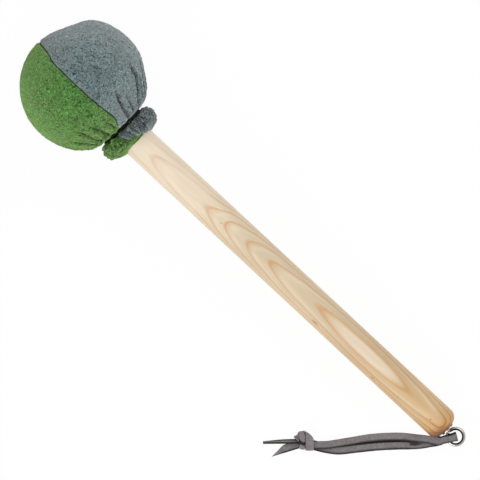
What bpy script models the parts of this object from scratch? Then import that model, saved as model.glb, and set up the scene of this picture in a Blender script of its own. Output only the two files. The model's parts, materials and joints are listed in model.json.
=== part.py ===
"""Gong mallet with a fleece-covered head and a suede wrist lace, at its real size.

The mallet lies on a table. The origin is on the table under the middle of the head, +X runs
towards the butt of the handle, +Y towards the grey half of the cover and +Z up. Units are metres.

Along the handle a place is given by its station: the distance from the middle of the head,
positive towards the butt. Around the handle it is given by its turn: an angle that is zero on
the upper side and grows towards the grey half of the cover.
"""
import math

import bmesh
import bpy
from mathutils import Matrix, Vector

# Clearance between pieces that lie against each other
GAP = 0.0003

# Maple handle
HANDLE_RADIUS = 0.0127
EXPOSED_LENGTH = 0.3202
BUTT_ROUNDING = 0.0085
TENON_RADIUS = 0.008
TENON_CHAMFER = 0.001

# Turned core of the head, and what holds it on the tenon
CORE_RADIUS = 0.027
CORE_MIDDLE = -0.001
TENON_RECESS = 0.001
CORE_WASHER_RADIUS = 0.011
CORE_WASHER_THICKNESS = 0.0016
SCREW_RADIUS = 0.0024
SCREW_LENGTH = 0.030
SCREW_HEAD_RADIUS = 0.0048
SCREW_HEAD_HEIGHT = 0.003
SCREW_HEAD_ROUNDING = 0.0015
SCREW_SLOT_WIDTH = 0.0012
SCREW_SLOT_DEPTH = 0.0014
SCREW_HEAD_ROOM = 0.0008

# Padding
FELT_THICKNESS = 0.005
FOAM_SETBACK = 0.0008
FOAM_ROWS = 14
FOAM_BORE_ROWS = 10
FOAM_COLUMNS = 24

# Fleece cover: two half panels that meet on a seam over the end of the head
HEAD_RADIUS = 0.0485
FLEECE_THICKNESS = 0.002
GATHER_THICKNESS = 0.00395
NECK_FLEECE = 0.0035
NECK_ANGLE = math.radians(143.3)
SEAM_TURN = math.radians(-4.0)
TABLE_CUT = 0.0005

# Radius of the head as a share of HEAD_RADIUS, at angles in degrees from the end of the head
GREY_OUTLINE = ((0, 0.964), (15, 0.960), (30, 0.958), (42, 0.988), (52, 1.046), (62, 1.074),
                (90, 1.074), (105, 1.064), (118, 1.024), (130, 0.998), (150, 1.000))
GREEN_OUTLINE = ((0, 0.964), (25, 0.955), (50, 0.946), (90, 0.954), (116, 0.966), (150, 0.992))

# Groove of the neck, and the gathered hem below it
NECK_LEAD = 0.0036
GROOVE_WALL = 0.0003
SHOULDER_HEIGHT = 0.0078
HEM_LENGTH = 0.0157
HEM_HEIGHT = 0.0070
HEM_LIP = 0.0009
NECK_SLANT = 0.05
SLANT_LEAD = 0.012
# Hem outline as (share of its length, share of its height), from the groove to the mouth
HEM_OUTLINE = ((0.02, 0.52), (0.16, 0.93), (0.41, 1.0), (0.65, 0.84), (0.86, 0.24))
# Turn of the seam in degrees at both walls of the groove, at each of those places, and at the mouth
GROOVE_TWIST = (-6, -10)
HEM_TWIST = (-16, -12, -4, 6, 13, 17)

# Main folds of the gathered fleece
PLEATS = 14
PLEAT_START = math.radians(100.0)
PLEAT_DEPTH = 0.0016
HEM_PLEAT_DEPTH = 0.0018
BALL_ROWS = 12
PANEL_COLUMNS = 28

# Seam thread
THREAD_RADIUS = 0.0003
THREAD_DEPTH = 0.0009
THREAD_POINTS = 48
THREAD_END = math.radians(4.0)

# Cord tied round the neck
TIE_RADIUS = 0.00055
TIE_TURN_GAP = 0.00047
TIE_LOOPS = 2
TIE_LOOP_POINTS = 24
# Shares of the cord's length, from each end, where it starts and stops coming up to its knot
TIE_RAMP = (0.02, 0.10)
TIE_KNOT_LENGTH = 0.0044
TIE_KNOT_HEIGHT = 0.0030
TIE_KNOT_ROUNDING = 0.0009

# Screw eye and its washer
EYE_WIRE_RADIUS = 0.00135
EYE_RADIUS = 0.00625
EYE_SHANK_LENGTH = 0.018
EYE_THREAD_DEPTH = 0.00008
EYE_WASHER_RADIUS = 0.0055
EYE_WASHER_THICKNESS = 0.0011

# Suede lace, doubled through the eye and knotted
LACE_WIDTH = 0.006
LACE_THICKNESS = 0.0015
LACE_BEARING = Vector((-0.54, -0.84, 0.0)).normalized()
FOLD_EASE = 0.0014
FOLD_SLACK = 0.00075
FOLD_POINTS = 8
LACE_STEPS = 3
TABLE_CLEARANCE = 0.00015
# Strand routes from the eye to the knot: (x, y) from where the lace crosses the eye's wire, the
# share of the eye's height that is left there, and the lift above or below that, in millimetres
UPPER_STRAND = ((-1.6, -2.6, 1.00, 3.15), (-3.8, -5.9, 0.93, 1.90), (-10.0, -10.3, 0.62, 1.30),
                (-16.2, -14.9, 0.36, 1.15), (-22.2, -19.4, 0.17, 1.20), (-28.0, -24.1, 0.07, 1.30),
                (-35.9, -31.8, 0.02, 0.20), (-43.5, -40.2, 0.00, 0.05), (-50.6, -49.3, 0.00, 0.05),
                (-57.5, -58.2, 0.00, 1.80), (-63.6, -65.8, 0.00, 2.30), (-70.6, -72.8, 0.00, 3.30))
LOWER_STRAND = ((-1.6, -2.6, 1.00, -3.15), (-3.8, -6.0, 0.93, -2.30), (-8.0, -12.7, 0.62, -1.20),
                (-12.5, -18.5, 0.36, -1.10), (-17.7, -23.9, 0.17, -0.70), (-23.1, -29.1, 0.07, -0.50),
                (-31.0, -37.1, 0.00, 0.00), (-38.7, -45.5, 0.00, 0.00), (-46.2, -54.2, 0.00, 0.00),
                (-53.8, -62.9, 0.00, 0.00), (-61.5, -68.7, 0.00, 0.10), (-70.1, -73.5, 0.00, 0.80))

# Knot of the lace: a collar whose near face is KNOT_START from the crossing, and a turned band
KNOT_BEARING = math.radians(222.96)
KNOT_START = 0.1020
KNOT_OFFSET = 0.00135
KNOT_COLLAR_SIZE = (0.0078, 0.0148, 0.0096)
KNOT_BAND_SIZE = (0.0058, 0.0122, 0.0080)
KNOT_BAND_TURN = math.radians(-28.0)
KNOT_OVERLAP = 0.0002
KNOT_ROUNDING = 0.0016

# Tails of the lace: (x, y) from the middle of the band's far face in millimetres, and the reach to
# each side as a share of half the lace's width
UPPER_TAIL = ((-1.0, -1.5, 0.90, 0.90), (-4.6, -4.9, 0.87, 0.83), (-8.5, -9.6, 0.77, 0.67),
              (-13.6, -15.3, 0.63, 0.40), (-17.7, -19.8, 0.50, 0.10))
UPPER_TAIL_TILT = math.radians(68.0)
LOWER_TAIL = ((0.7, -4.6, 1.00, 1.00), (-2.3, -10.0, 1.00, 0.90), (-4.4, -15.0, 0.53, 0.90),
              (-6.0, -19.3, -0.13, 0.90), (-6.7, -22.0, -0.67, 0.87))
LOWER_TAIL_START = 0.0016
TAIL_STEPS = 2

ROUND_STEPS = 40
CORE_STEPS = 28
CORE_ARC_STEPS = 9
SMALL_STEPS = 20

PART_COLOURS = {
    "maple": ((0.87, 0.75, 0.56, 1.0), 0.45, 0.0),
    "turned_wood": ((0.72, 0.56, 0.38, 1.0), 0.6, 0.0),
    "felt": ((0.80, 0.78, 0.72, 1.0), 0.95, 0.0),
    "foam": ((0.86, 0.84, 0.76, 1.0), 0.9, 0.0),
    "grey_fleece": ((0.15, 0.19, 0.21, 1.0), 0.95, 0.0),
    "green_fleece": ((0.13, 0.30, 0.08, 1.0), 0.95, 0.0),
    "black_cord": ((0.01, 0.01, 0.01, 1.0), 0.7, 0.0),
    "nickel_steel": ((0.75, 0.75, 0.73, 1.0), 0.2, 1.0),
    "zinc_steel": ((0.6, 0.6, 0.6, 1.0), 0.35, 1.0),
    "suede": ((0.19, 0.17, 0.175, 1.0), 0.9, 0.0),
}


def eased(low, high, value):
    """0 below low, 1 above high and a smooth ease between them."""
    share = min(max((value - low) / (high - low), 0.0), 1.0)
    return share * share * (3.0 - 2.0 * share)


def smooth_between(a, b, c, d, share):
    """Catmull-Rom point between b and c, with a and d as their outer neighbours."""
    return 0.5 * ((2.0 * b) + (c - a) * share + (2.0 * a - 5.0 * b + 4.0 * c - d) * share ** 2
                  + (3.0 * b - 3.0 * c + d - a) * share ** 3)


def outline_share(outline, angle):
    """Smooth reading of an outline's (degrees, share) points at an angle in radians."""
    degrees = min(math.degrees(angle), outline[-1][0])
    last = len(outline) - 2
    index = min(sum(1 for point in outline[1:] if point[0] < degrees), last)
    low, high = outline[index], outline[index + 1]
    before = outline[max(index - 1, 0)][1]
    after = outline[min(index + 2, last + 1)][1]
    share = (degrees - low[0]) / (high[0] - low[0])
    return smooth_between(before, low[1], high[1], after, share)


def head_radius(angle, turn):
    """Distance from the middle of the head to the cover, between its grey and green outlines."""
    grey = outline_share(GREY_OUTLINE, angle)
    green = outline_share(GREEN_OUTLINE, angle)
    return HEAD_RADIUS * (grey + green + (grey - green) * math.sin(turn)) / 2.0


def lining_radius(angle, turn):
    """Distance from the middle of the head to the inside of the cover, thicker at the neck."""
    gathered = (NECK_FLEECE - FLEECE_THICKNESS) * eased(PLEAT_START, NECK_ANGLE, angle)
    return head_radius(angle, turn) - FLEECE_THICKNESS - gathered


CORE_FLAT = CORE_WASHER_THICKNESS + SCREW_HEAD_HEIGHT + 2.0 * GAP + SCREW_HEAD_ROOM
CORE_HALF = CORE_RADIUS - CORE_FLAT
CORE_TOP = CORE_MIDDLE - CORE_HALF
SEAM_OPENING = 2.0 * (THREAD_RADIUS + GAP)
NECK_RADIUS = HANDLE_RADIUS + GAP + GATHER_THICKNESS
TIE_PITCH = 2.0 * TIE_RADIUS + TIE_TURN_GAP
GROOVE_WIDTH = TIE_LOOPS * TIE_PITCH + 2.0 * (TIE_RADIUS + GAP)
BALL_END = HEAD_RADIUS * -math.cos(NECK_ANGLE)
GROOVE_START = BALL_END + NECK_LEAD - GROOVE_WIDTH / 2.0 + GROOVE_WALL
GROOVE_END = GROOVE_START + GROOVE_WIDTH
TIE_STATION = (GROOVE_START + GROOVE_END) / 2.0
MOUTH_STATION = GROOVE_END + HEM_LENGTH
BUTT_STATION = MOUTH_STATION + EXPOSED_LENGTH
BORE_RADIUS = HANDLE_RADIUS + 2.0 * GAP
EYE_SHANK_RADIUS = EYE_WIRE_RADIUS - EYE_THREAD_DEPTH
EYE_BORE = EYE_SHANK_RADIUS + GAP
BUTT_CURVE = min(BUTT_ROUNDING, HANDLE_RADIUS - EYE_BORE - GAP)
FOLD_RADIUS = EYE_WIRE_RADIUS + FOLD_EASE + LACE_THICKNESS / 2.0


def rest_pose():
    """Height of the head's middle and the handle's downward tilt when the mallet lies down."""
    rounding_middle = BUTT_STATION - BUTT_CURVE
    inner = HANDLE_RADIUS - BUTT_CURVE
    height = HEAD_RADIUS - TABLE_CUT
    tilt = 0.0
    for _ in range(6):
        turns = [math.radians(degrees) for degrees in range(150, 211)]
        reach = max(head_radius(math.pi / 2.0 + tilt, turn) * -math.cos(turn) for turn in turns)
        height = reach - TABLE_CUT
        tilt = math.asin((height - inner * math.cos(tilt) - BUTT_CURVE) / rounding_middle)
    return height, tilt


HEAD_HEIGHT, TILT = rest_pose()
ALONG = Vector((math.cos(TILT), 0.0, -math.sin(TILT)))
UPWARD = Vector((math.sin(TILT), 0.0, math.cos(TILT)))
EYE_STATION = BUTT_STATION + GAP + EYE_WASHER_THICKNESS + GAP + EYE_RADIUS + EYE_WIRE_RADIUS
EYE_MIDDLE = Vector((0.0, 0.0, HEAD_HEIGHT)) + ALONG * EYE_STATION
LACE_OUTWARD = (ALONG * LACE_BEARING.x + Vector((0.0, LACE_BEARING.y, 0.0))).normalized()
LACE_AXIS = UPWARD.cross(LACE_OUTWARD).normalized()
LACE_CROSSING = EYE_MIDDLE + LACE_OUTWARD * EYE_RADIUS
LACE_LIE = TABLE_CLEARANCE + LACE_THICKNESS / 2.0


def at(station, radius, turn):
    """Place in the mallet's own frame, whose -Z runs to the butt and +X is its upper side."""
    side = radius * math.sin(turn)
    lean = NECK_SLANT * side * eased(BALL_END - SLANT_LEAD, GROOVE_START, station)
    return Vector((radius * math.cos(turn), side, -(station + lean)))


def clear_scene():
    for old in list(bpy.data.objects):
        bpy.data.objects.remove(old, do_unlink=True)


def new_collection(name):
    made = bpy.data.collections.new(name)
    bpy.context.scene.collection.children.link(made)
    return made


def material(name):
    made = bpy.data.materials.get(name)
    if made is None:
        made = bpy.data.materials.new(name)
        made.use_nodes = True
        colour, roughness, metallic = PART_COLOURS[name]
        shader = made.node_tree.nodes["Principled BSDF"]
        shader.inputs["Base Color"].default_value = colour
        shader.inputs["Roughness"].default_value = roughness
        shader.inputs["Metallic"].default_value = metallic
    return made


def add_object(name, data, finish, parent, collection="gong_mallet"):
    made = bpy.data.objects.new(name, data)
    data.materials.append(material(finish))
    bpy.data.collections[collection].objects.link(made)
    made.parent = parent
    return made


def mesh_from(name, builder):
    """A mesh from a bmesh that the builder function fills."""
    bm = bmesh.new()
    builder(bm)
    data = bpy.data.meshes.new(name)
    bm.to_mesh(data)
    bm.free()
    return data


def as_cutter(made):
    made.hide_render = True
    made.display_type = "WIRE"
    return made


def boolean(target, cutter, operation):
    cut = target.modifiers.new(operation.lower() + "_" + cutter.name, "BOOLEAN")
    cut.operation = operation
    cut.solver = "EXACT"
    cut.object = cutter


def turned(name, outline, finish, parent, steps=ROUND_STEPS, closed=False):
    """A turned piece from (radius, station) points, down its outer side from the head end."""
    data = bpy.data.meshes.new(name)
    points = [(radius, 0.0, -station) for radius, station in outline]
    edges = [(i, i + 1) for i in range(len(points) - 1)]
    if closed:
        edges.append((len(points) - 1, 0))
    data.from_pydata(points, edges, [])
    made = add_object(name, data, finish, parent)
    screw = made.modifiers.new("turn", "SCREW")
    screw.steps = steps
    screw.render_steps = steps
    screw.use_merge_vertices = True
    screw.merge_threshold = 0.00001
    screw.use_smooth_shade = True
    return made


def arc(middle_radius, middle_station, size, start, end, count):
    """(radius, station) points on an arc; its angle is 0 outwards and 90 degrees to the butt."""
    points = []
    for i in range(count + 1):
        angle = math.radians(start + (end - start) * i / count)
        points.append((middle_radius + size * math.cos(angle), middle_station + size * math.sin(angle)))
    return points


def make_handle(parent):
    shoulder = CORE_MIDDLE + CORE_HALF + GAP
    tenon_end = CORE_TOP + TENON_RECESS
    screw_bore = SCREW_RADIUS + GAP
    screw_tip = CORE_TOP - GAP - CORE_WASHER_THICKNESS - GAP + SCREW_LENGTH
    outline = [(0.0, screw_tip + GAP), (screw_bore, screw_tip + GAP), (screw_bore, tenon_end),
               (TENON_RADIUS - TENON_CHAMFER, tenon_end), (TENON_RADIUS, tenon_end + TENON_CHAMFER),
               (TENON_RADIUS, shoulder), (HANDLE_RADIUS - TENON_CHAMFER, shoulder),
               (HANDLE_RADIUS, shoulder + TENON_CHAMFER)]
    outline += arc(HANDLE_RADIUS - BUTT_CURVE, BUTT_STATION - BUTT_CURVE, BUTT_CURVE, 0, 90, 7)
    outline += [(EYE_BORE, BUTT_STATION), (EYE_BORE, BUTT_STATION - EYE_SHANK_LENGTH - GAP),
                (0.0, BUTT_STATION - EYE_SHANK_LENGTH - GAP)]
    turned("handle", outline, "maple", parent)


def make_head_core(parent):
    edge = math.degrees(math.asin(CORE_HALF / CORE_RADIUS))
    bore = TENON_RADIUS + GAP
    outline = arc(0.0, CORE_MIDDLE, CORE_RADIUS, -edge, edge, CORE_ARC_STEPS)
    outline += [(bore, CORE_MIDDLE + CORE_HALF), (bore, CORE_TOP)]
    turned("head_core", outline, "turned_wood", parent, CORE_STEPS, True)


def make_felt_wrap(parent):
    inner = CORE_RADIUS + GAP
    outer = inner + FELT_THICKNESS
    neck = math.degrees(math.acos(BORE_RADIUS / inner))
    outline = arc(0.0, CORE_MIDDLE, outer, -90, neck, CORE_ARC_STEPS)
    outline += arc(0.0, CORE_MIDDLE, inner, neck, -90, CORE_ARC_STEPS)
    turned("felt_wrap", outline, "felt", parent, CORE_STEPS)


def make_core_screw(parent):
    under = CORE_TOP - GAP
    over = under - CORE_WASHER_THICKNESS
    hole = SCREW_RADIUS + GAP
    outline = [(hole, over), (CORE_WASHER_RADIUS, over), (CORE_WASHER_RADIUS, under), (hole, under)]
    turned("core_washer", outline, "zinc_steel", parent, SMALL_STEPS, True)

    seat = over - GAP
    top = seat - SCREW_HEAD_HEIGHT
    corner = min(SCREW_HEAD_ROUNDING, SCREW_HEAD_HEIGHT - GAP)
    outline = [(0.0, top)]
    outline += arc(SCREW_HEAD_RADIUS - corner, top + corner, corner, -90, 0, 3)
    outline += [(SCREW_HEAD_RADIUS, seat), (SCREW_RADIUS, seat),
                (SCREW_RADIUS, seat + SCREW_LENGTH - 2.0 * SCREW_RADIUS), (0.0, seat + SCREW_LENGTH)]
    screw = turned("core_screw", outline, "zinc_steel", parent, SMALL_STEPS)

    def slot(bm):
        size = (SCREW_SLOT_WIDTH, 3.0 * SCREW_HEAD_RADIUS, 2.0 * SCREW_SLOT_DEPTH)
        place = Matrix.Translation((0.0, 0.0, -top))
        bmesh.ops.create_cube(bm, size=1.0, matrix=place @ Matrix.Diagonal((*size, 1.0)))

    cutter = add_object("screw_slot", mesh_from("screw_slot", slot), "zinc_steel", parent, "cutters")
    boolean(screw, as_cutter(cutter), "DIFFERENCE")


def grid_of(bm, rows, columns, place):
    """A grid of rows by columns whose vertices, given by row and column, move to their places."""
    found = {}
    for vert in bmesh.ops.create_grid(bm, x_segments=rows, y_segments=columns, size=0.5)["verts"]:
        row = round((vert.co.x + 0.5) * rows)
        column = round((vert.co.y + 0.5) * columns)
        vert.co = place(row, column)
        found[row, column] = vert
    return found


def make_foam(parent):
    inner = CORE_RADIUS + GAP + FELT_THICKNESS + FOAM_SETBACK
    foam_end = BALL_END - NECK_FLEECE - FOAM_SETBACK
    end_angle = math.acos(-foam_end / (HEAD_RADIUS - NECK_FLEECE - FOAM_SETBACK))
    bore_angle = math.pi - math.asin(BORE_RADIUS / inner)

    def place(row, column):
        if row <= FOAM_ROWS:
            angle = end_angle * row / FOAM_ROWS
            outer = lining_radius(angle, 2.0 * math.pi * column / FOAM_COLUMNS) - FOAM_SETBACK
            radius = outer * math.sin(angle)
            station = min(-outer * math.cos(angle), foam_end)
        elif row == FOAM_ROWS + 1:
            radius, station = BORE_RADIUS, foam_end
        else:
            angle = bore_angle * (1.0 - (row - FOAM_ROWS - 2) / FOAM_BORE_ROWS)
            radius = inner * math.sin(angle)
            station = CORE_MIDDLE - inner * math.cos(angle)
        turn = 2.0 * math.pi * column / FOAM_COLUMNS
        return Vector((radius * math.cos(turn), radius * math.sin(turn), -station))

    def build(bm):
        grid_of(bm, FOAM_ROWS + 2 + FOAM_BORE_ROWS, FOAM_COLUMNS, place)
        bmesh.ops.remove_doubles(bm, verts=bm.verts, dist=0.00001)
        bmesh.ops.recalc_face_normals(bm, faces=bm.faces)

    foam = add_object("foam_padding", mesh_from("foam_padding", build), "foam", parent)
    foam.data.shade_smooth()


def pleat(turn):
    """How deep a fold is at a turn, from 0 on its crest to 1 in its valley."""
    return 0.5 - 0.5 * math.cos(PLEATS * turn)


def cover_rows():
    """The rows of a panel below the ball: outer (station, radius), inner (station, radius),
    fold depth and seam turn."""
    inner = HANDLE_RADIUS + GAP
    wall = BALL_END - NECK_FLEECE + GAP
    start, end = [math.radians(degrees) for degrees in GROOVE_TWIST]
    rows = [(GROOVE_START - GROOVE_WALL, NECK_RADIUS + SHOULDER_HEIGHT, wall, NECK_RADIUS, PLEAT_DEPTH,
             SEAM_TURN),
            (GROOVE_START, NECK_RADIUS, wall + GAP, inner, 0.0, start),
            (GROOVE_END, NECK_RADIUS, GROOVE_END, inner, 0.0, end)]
    for (along, high), twist in zip(HEM_OUTLINE, HEM_TWIST):
        station = GROOVE_END + GROOVE_WALL + HEM_LENGTH * along
        radius = NECK_RADIUS + HEM_HEIGHT * high
        rows.append((station, radius, station, inner, HEM_PLEAT_DEPTH * high, math.radians(twist)))
    mouth = math.radians(HEM_TWIST[-1])
    rows.append((MOUTH_STATION, inner + HEM_LIP, MOUTH_STATION - GAP, inner, 0.0, mouth))
    return rows


def make_cover(parent, name, finish, side):
    """One half of the cover; side is 1 for the grey half and -1 for the green one."""
    rows = cover_rows()
    row_count = BALL_ROWS + len(rows)
    half_opening = SEAM_OPENING / 2.0

    def part_from_seam(point, seam, share):
        across = Vector((-math.sin(seam), math.cos(seam), 0.0)) * side
        return point + across * (half_opening * (1.0 - abs(math.sin(share))))

    def place(row, column, outside):
        share = side * math.pi * column / PANEL_COLUMNS
        if row <= BALL_ROWS:
            angle = NECK_ANGLE * row / BALL_ROWS
            turn = SEAM_TURN + share
            if outside:
                fold = PLEAT_DEPTH * eased(PLEAT_START, NECK_ANGLE, angle) * pleat(share)
                radius = head_radius(angle, turn) - fold
            else:
                radius = lining_radius(angle, turn)
            point = at(-radius * math.cos(angle), radius * math.sin(angle), turn)
            return part_from_seam(point, SEAM_TURN, share if row else 0.0)
        outer_station, outer_radius, inner_station, inner_radius, depth, seam = rows[row - BALL_ROWS - 1]
        if outside:
            point = at(outer_station, outer_radius - depth * pleat(share), seam + share)
        else:
            point = at(inner_station, inner_radius, seam + share)
        return part_from_seam(point, seam, share)

    def build(bm):
        outer = grid_of(bm, row_count, PANEL_COLUMNS, lambda row, column: place(row, column, True))
        inner = grid_of(bm, row_count, PANEL_COLUMNS, lambda row, column: place(row, column, False))
        edge = [(row, 0) for row in range(row_count + 1)]
        edge += [(row_count, column) for column in range(1, PANEL_COLUMNS + 1)]
        edge += [(row, PANEL_COLUMNS) for row in range(row_count - 1, -1, -1)]
        for here, there in zip(edge, edge[1:]):
            bm.faces.new((outer[here], outer[there], inner[there], inner[here]))
        bmesh.ops.remove_doubles(bm, verts=bm.verts, dist=0.00001)
        bmesh.ops.recalc_face_normals(bm, faces=bm.faces)

    panel = add_object(name, mesh_from(name, build), finish, parent)
    panel.data.shade_smooth()
    panel.data.set_sharp_from_angle(angle=math.radians(40))
    boolean(panel, bpy.data.objects["table_top"], "DIFFERENCE")


def make_table_cutter():
    def slab(bm):
        size = (4.0 * HEAD_RADIUS, 4.0 * HEAD_RADIUS, HEAD_RADIUS)
        place = Matrix.Translation((0.0, 0.0, -HEAD_RADIUS / 2.0))
        bmesh.ops.create_cube(bm, size=1.0, matrix=place @ Matrix.Diagonal((*size, 1.0)))

    as_cutter(add_object("table_top", mesh_from("table_top", slab), "felt", None, "cutters"))


def tube(name, points, radius, sides_level, finish, parent):
    """A round tube along points, as a poly curve with closed ends."""
    data = bpy.data.curves.new(name, "CURVE")
    data.dimensions = "3D"
    data.bevel_depth = radius
    data.bevel_resolution = sides_level
    data.use_fill_caps = True
    spline = data.splines.new("POLY")
    spline.points.add(len(points) - 1)
    for slot, point in zip(spline.points, points):
        slot.co = (*point, 1.0)
    return add_object(name, data, finish, parent)


def make_seam_thread(parent):
    """The seam's thread, from the neck over the end of the head and back to the neck."""
    limit = NECK_ANGLE - THREAD_END
    points = []
    for i in range(THREAD_POINTS):
        angle = limit * (2.0 * i / (THREAD_POINTS - 1) - 1.0)
        turn = SEAM_TURN + (math.pi if angle > 0.0 else 0.0)
        radius = head_radius(abs(angle), turn) - THREAD_DEPTH
        points.append(at(-radius * math.cos(angle), radius * math.sin(abs(angle)), turn))
    tube("seam_thread", points, THREAD_RADIUS, 1, "black_cord", parent)


def tie_points():
    """Middle line of the tied cord, which winds from one side of its knot to the other."""
    radius = NECK_RADIUS + GAP + TIE_RADIUS
    knot_rise = TIE_RADIUS + GAP + TIE_KNOT_HEIGHT / 2.0
    end_turn = (TIE_KNOT_LENGTH / 2.0 + GAP) / (radius + knot_rise)
    whole = TIE_LOOPS * 2.0 * math.pi - 2.0 * end_turn
    count = TIE_LOOPS * TIE_LOOP_POINTS
    points = []
    for i in range(count + 1):
        share = i / count
        turn = math.pi + end_turn + whole * share
        station = TIE_STATION + TIE_PITCH * TIE_LOOPS * (share - 0.5)
        rise = knot_rise * (1.0 - eased(*TIE_RAMP, min(share, 1.0 - share)))
        points.append(at(station, radius + rise, turn))
    return points


def least_gap(points, radius, away):
    """The least clearance between parts of a tube that are at least away points apart."""
    least = math.inf
    for i, first in enumerate(points):
        for j in range(i + away, len(points) - 1):
            start, run = points[j], points[j + 1] - points[j]
            share = min(max((first - start).dot(run) / run.length_squared, 0.0), 1.0)
            least = min(least, (first - start - run * share).length)
    return least - 2.0 * radius


def make_neck_tie(parent):
    points = tie_points()
    tube("neck_tie", points, TIE_RADIUS, 1, "black_cord", parent)
    gap = least_gap(points, TIE_RADIUS, TIE_LOOP_POINTS // 2)
    print("least gap of the neck tie to itself: %.2f mm" % (gap * 1000.0))

    under = NECK_RADIUS + GAP + 2.0 * TIE_RADIUS + GAP
    size = (TIE_KNOT_HEIGHT, TIE_KNOT_LENGTH, GROOVE_WIDTH - 2.0 * GAP)

    def knot(bm):
        place = Matrix.Translation(at(TIE_STATION, under + TIE_KNOT_HEIGHT / 2.0, math.pi))
        bmesh.ops.create_cube(bm, size=1.0, matrix=place @ Matrix.Diagonal((*size, 1.0)))

    made = add_object("neck_tie_knot", mesh_from("neck_tie_knot", knot), "black_cord", parent)
    rounding = made.modifiers.new("rounding", "BEVEL")
    rounding.width = TIE_KNOT_ROUNDING
    rounding.segments = 3
    rounding.limit_method = "NONE"


def make_screw_eye(parent):
    bpy.ops.mesh.primitive_torus_add(major_radius=EYE_RADIUS, minor_radius=EYE_WIRE_RADIUS,
                                     major_segments=28, minor_segments=10)
    ring = bpy.context.object
    ring.name = "screw_eye"
    ring.data.name = "screw_eye"
    for holder in list(ring.users_collection):
        holder.objects.unlink(ring)
    bpy.data.collections["gong_mallet"].objects.link(ring)
    ring.data.materials.append(material("nickel_steel"))
    ring.data.shade_smooth()
    ring.parent = parent
    ring.location = (0.0, 0.0, -EYE_STATION)
    ring.rotation_euler = (0.0, math.pi / 2.0, 0.0)

    top = EYE_STATION - EYE_RADIUS
    tip = BUTT_STATION - EYE_SHANK_LENGTH
    length = top - tip

    def shank(bm):
        bmesh.ops.create_cone(bm, cap_ends=True, segments=16, radius1=EYE_SHANK_RADIUS,
                              radius2=EYE_SHANK_RADIUS, depth=length,
                              matrix=Matrix.Translation((0.0, 0.0, -(top + tip) / 2.0)))

    made = add_object("eye_shank", mesh_from("eye_shank", shank), "nickel_steel", parent, "cutters")
    boolean(ring, as_cutter(made), "UNION")

    start = BUTT_STATION + GAP
    end = start + EYE_WASHER_THICKNESS
    outline = [(EYE_BORE, start), (EYE_WASHER_RADIUS, start), (EYE_WASHER_RADIUS, end), (EYE_BORE, end)]
    turned("eye_washer", outline, "nickel_steel", parent, CORE_STEPS, True)


def strand_points(route):
    """World places on a strand's middle line, from the eye to the knot."""
    eye_height = LACE_CROSSING.z - LACE_LIE
    places = []
    for x, y, height_left, lift in route:
        height = LACE_LIE + eye_height * height_left + lift / 1000.0
        places.append(Vector((LACE_CROSSING.x + x / 1000.0, LACE_CROSSING.y + y / 1000.0, height)))
    return places


def through(places, steps):
    """Points on one smooth curve through the places."""
    last = len(places) - 1
    points = []
    for i in range(last):
        before, after = places[max(i - 1, 0)], places[min(i + 2, last)]
        for step in range(steps):
            points.append(smooth_between(before, places[i], places[i + 1], after, step / steps))
    points.append(places[last])
    return points


def flat_sides(points):
    """A level direction across the run at each point of a strand that starts at the eye."""
    sides = []
    for i in range(len(points)):
        run = points[min(i + 1, len(points) - 1)] - points[max(i - 1, 0)]
        sides.append(Vector((-run.y, run.x, 0.0)).normalized())
    return sides


def ribbon(name, points, sides, widths, parent, finish="suede"):
    """A strip of suede along points; widths gives its reach to each side at every point."""
    origin = parent.location

    def build(bm):
        def place(row, column):
            reach = widths[row][1] if column else -widths[row][0]
            return points[row] + sides[row] * reach - origin
        grid_of(bm, len(points) - 1, 1, place)

    strip = add_object(name, mesh_from(name, build), finish, parent)
    wall = strip.modifiers.new("thickness", "SOLIDIFY")
    wall.thickness = LACE_THICKNESS
    wall.offset = 0.0
    wall.use_even_offset = True
    return strip


def make_lace_loop(parent):
    """The strip from the knot, over the eye's wire, round it and back under it to the knot."""
    fold = []
    for i in range(FOLD_POINTS + 1):
        angle = math.pi * (0.5 - i / FOLD_POINTS)
        inwards = FOLD_SLACK + FOLD_RADIUS * math.cos(angle)
        fold.append(LACE_CROSSING - LACE_OUTWARD * inwards + UPWARD * FOLD_RADIUS * math.sin(angle))
    upper = through([fold[0]] + strand_points(UPPER_STRAND), LACE_STEPS)
    lower = through([fold[-1]] + strand_points(LOWER_STRAND), LACE_STEPS)
    upper_sides, lower_sides = flat_sides(upper), flat_sides(lower)
    points = upper[:0:-1] + fold + lower[1:]
    sides = upper_sides[:0:-1] + [LACE_AXIS] * len(fold) + lower_sides[1:]
    widths = [(LACE_WIDTH / 2.0, LACE_WIDTH / 2.0)] * len(points)
    ribbon("lace_loop", points, sides, widths, parent)
    length = sum((b - a).length for a, b in zip(points, points[1:]))
    print("lace loop from the knot round the eye and back: %.1f mm" % (length * 1000.0))


def level(bearing):
    """The direction in the table's plane at a bearing from +X."""
    return Vector((math.cos(bearing), math.sin(bearing)))


def knot_places():
    """Middles of the knot's collar and band, and of the band's far face, in the table's plane."""
    run = level(KNOT_BEARING)
    collar = LACE_CROSSING.xy + run * (KNOT_START + KNOT_COLLAR_SIZE[0] / 2.0)
    collar += level(KNOT_BEARING + math.pi / 2.0) * KNOT_OFFSET
    band = collar + run * ((KNOT_COLLAR_SIZE[0] + KNOT_BAND_SIZE[0]) / 2.0 - KNOT_OVERLAP)
    return collar, band, band + level(KNOT_BEARING + KNOT_BAND_TURN) * (KNOT_BAND_SIZE[0] / 2.0)


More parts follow.
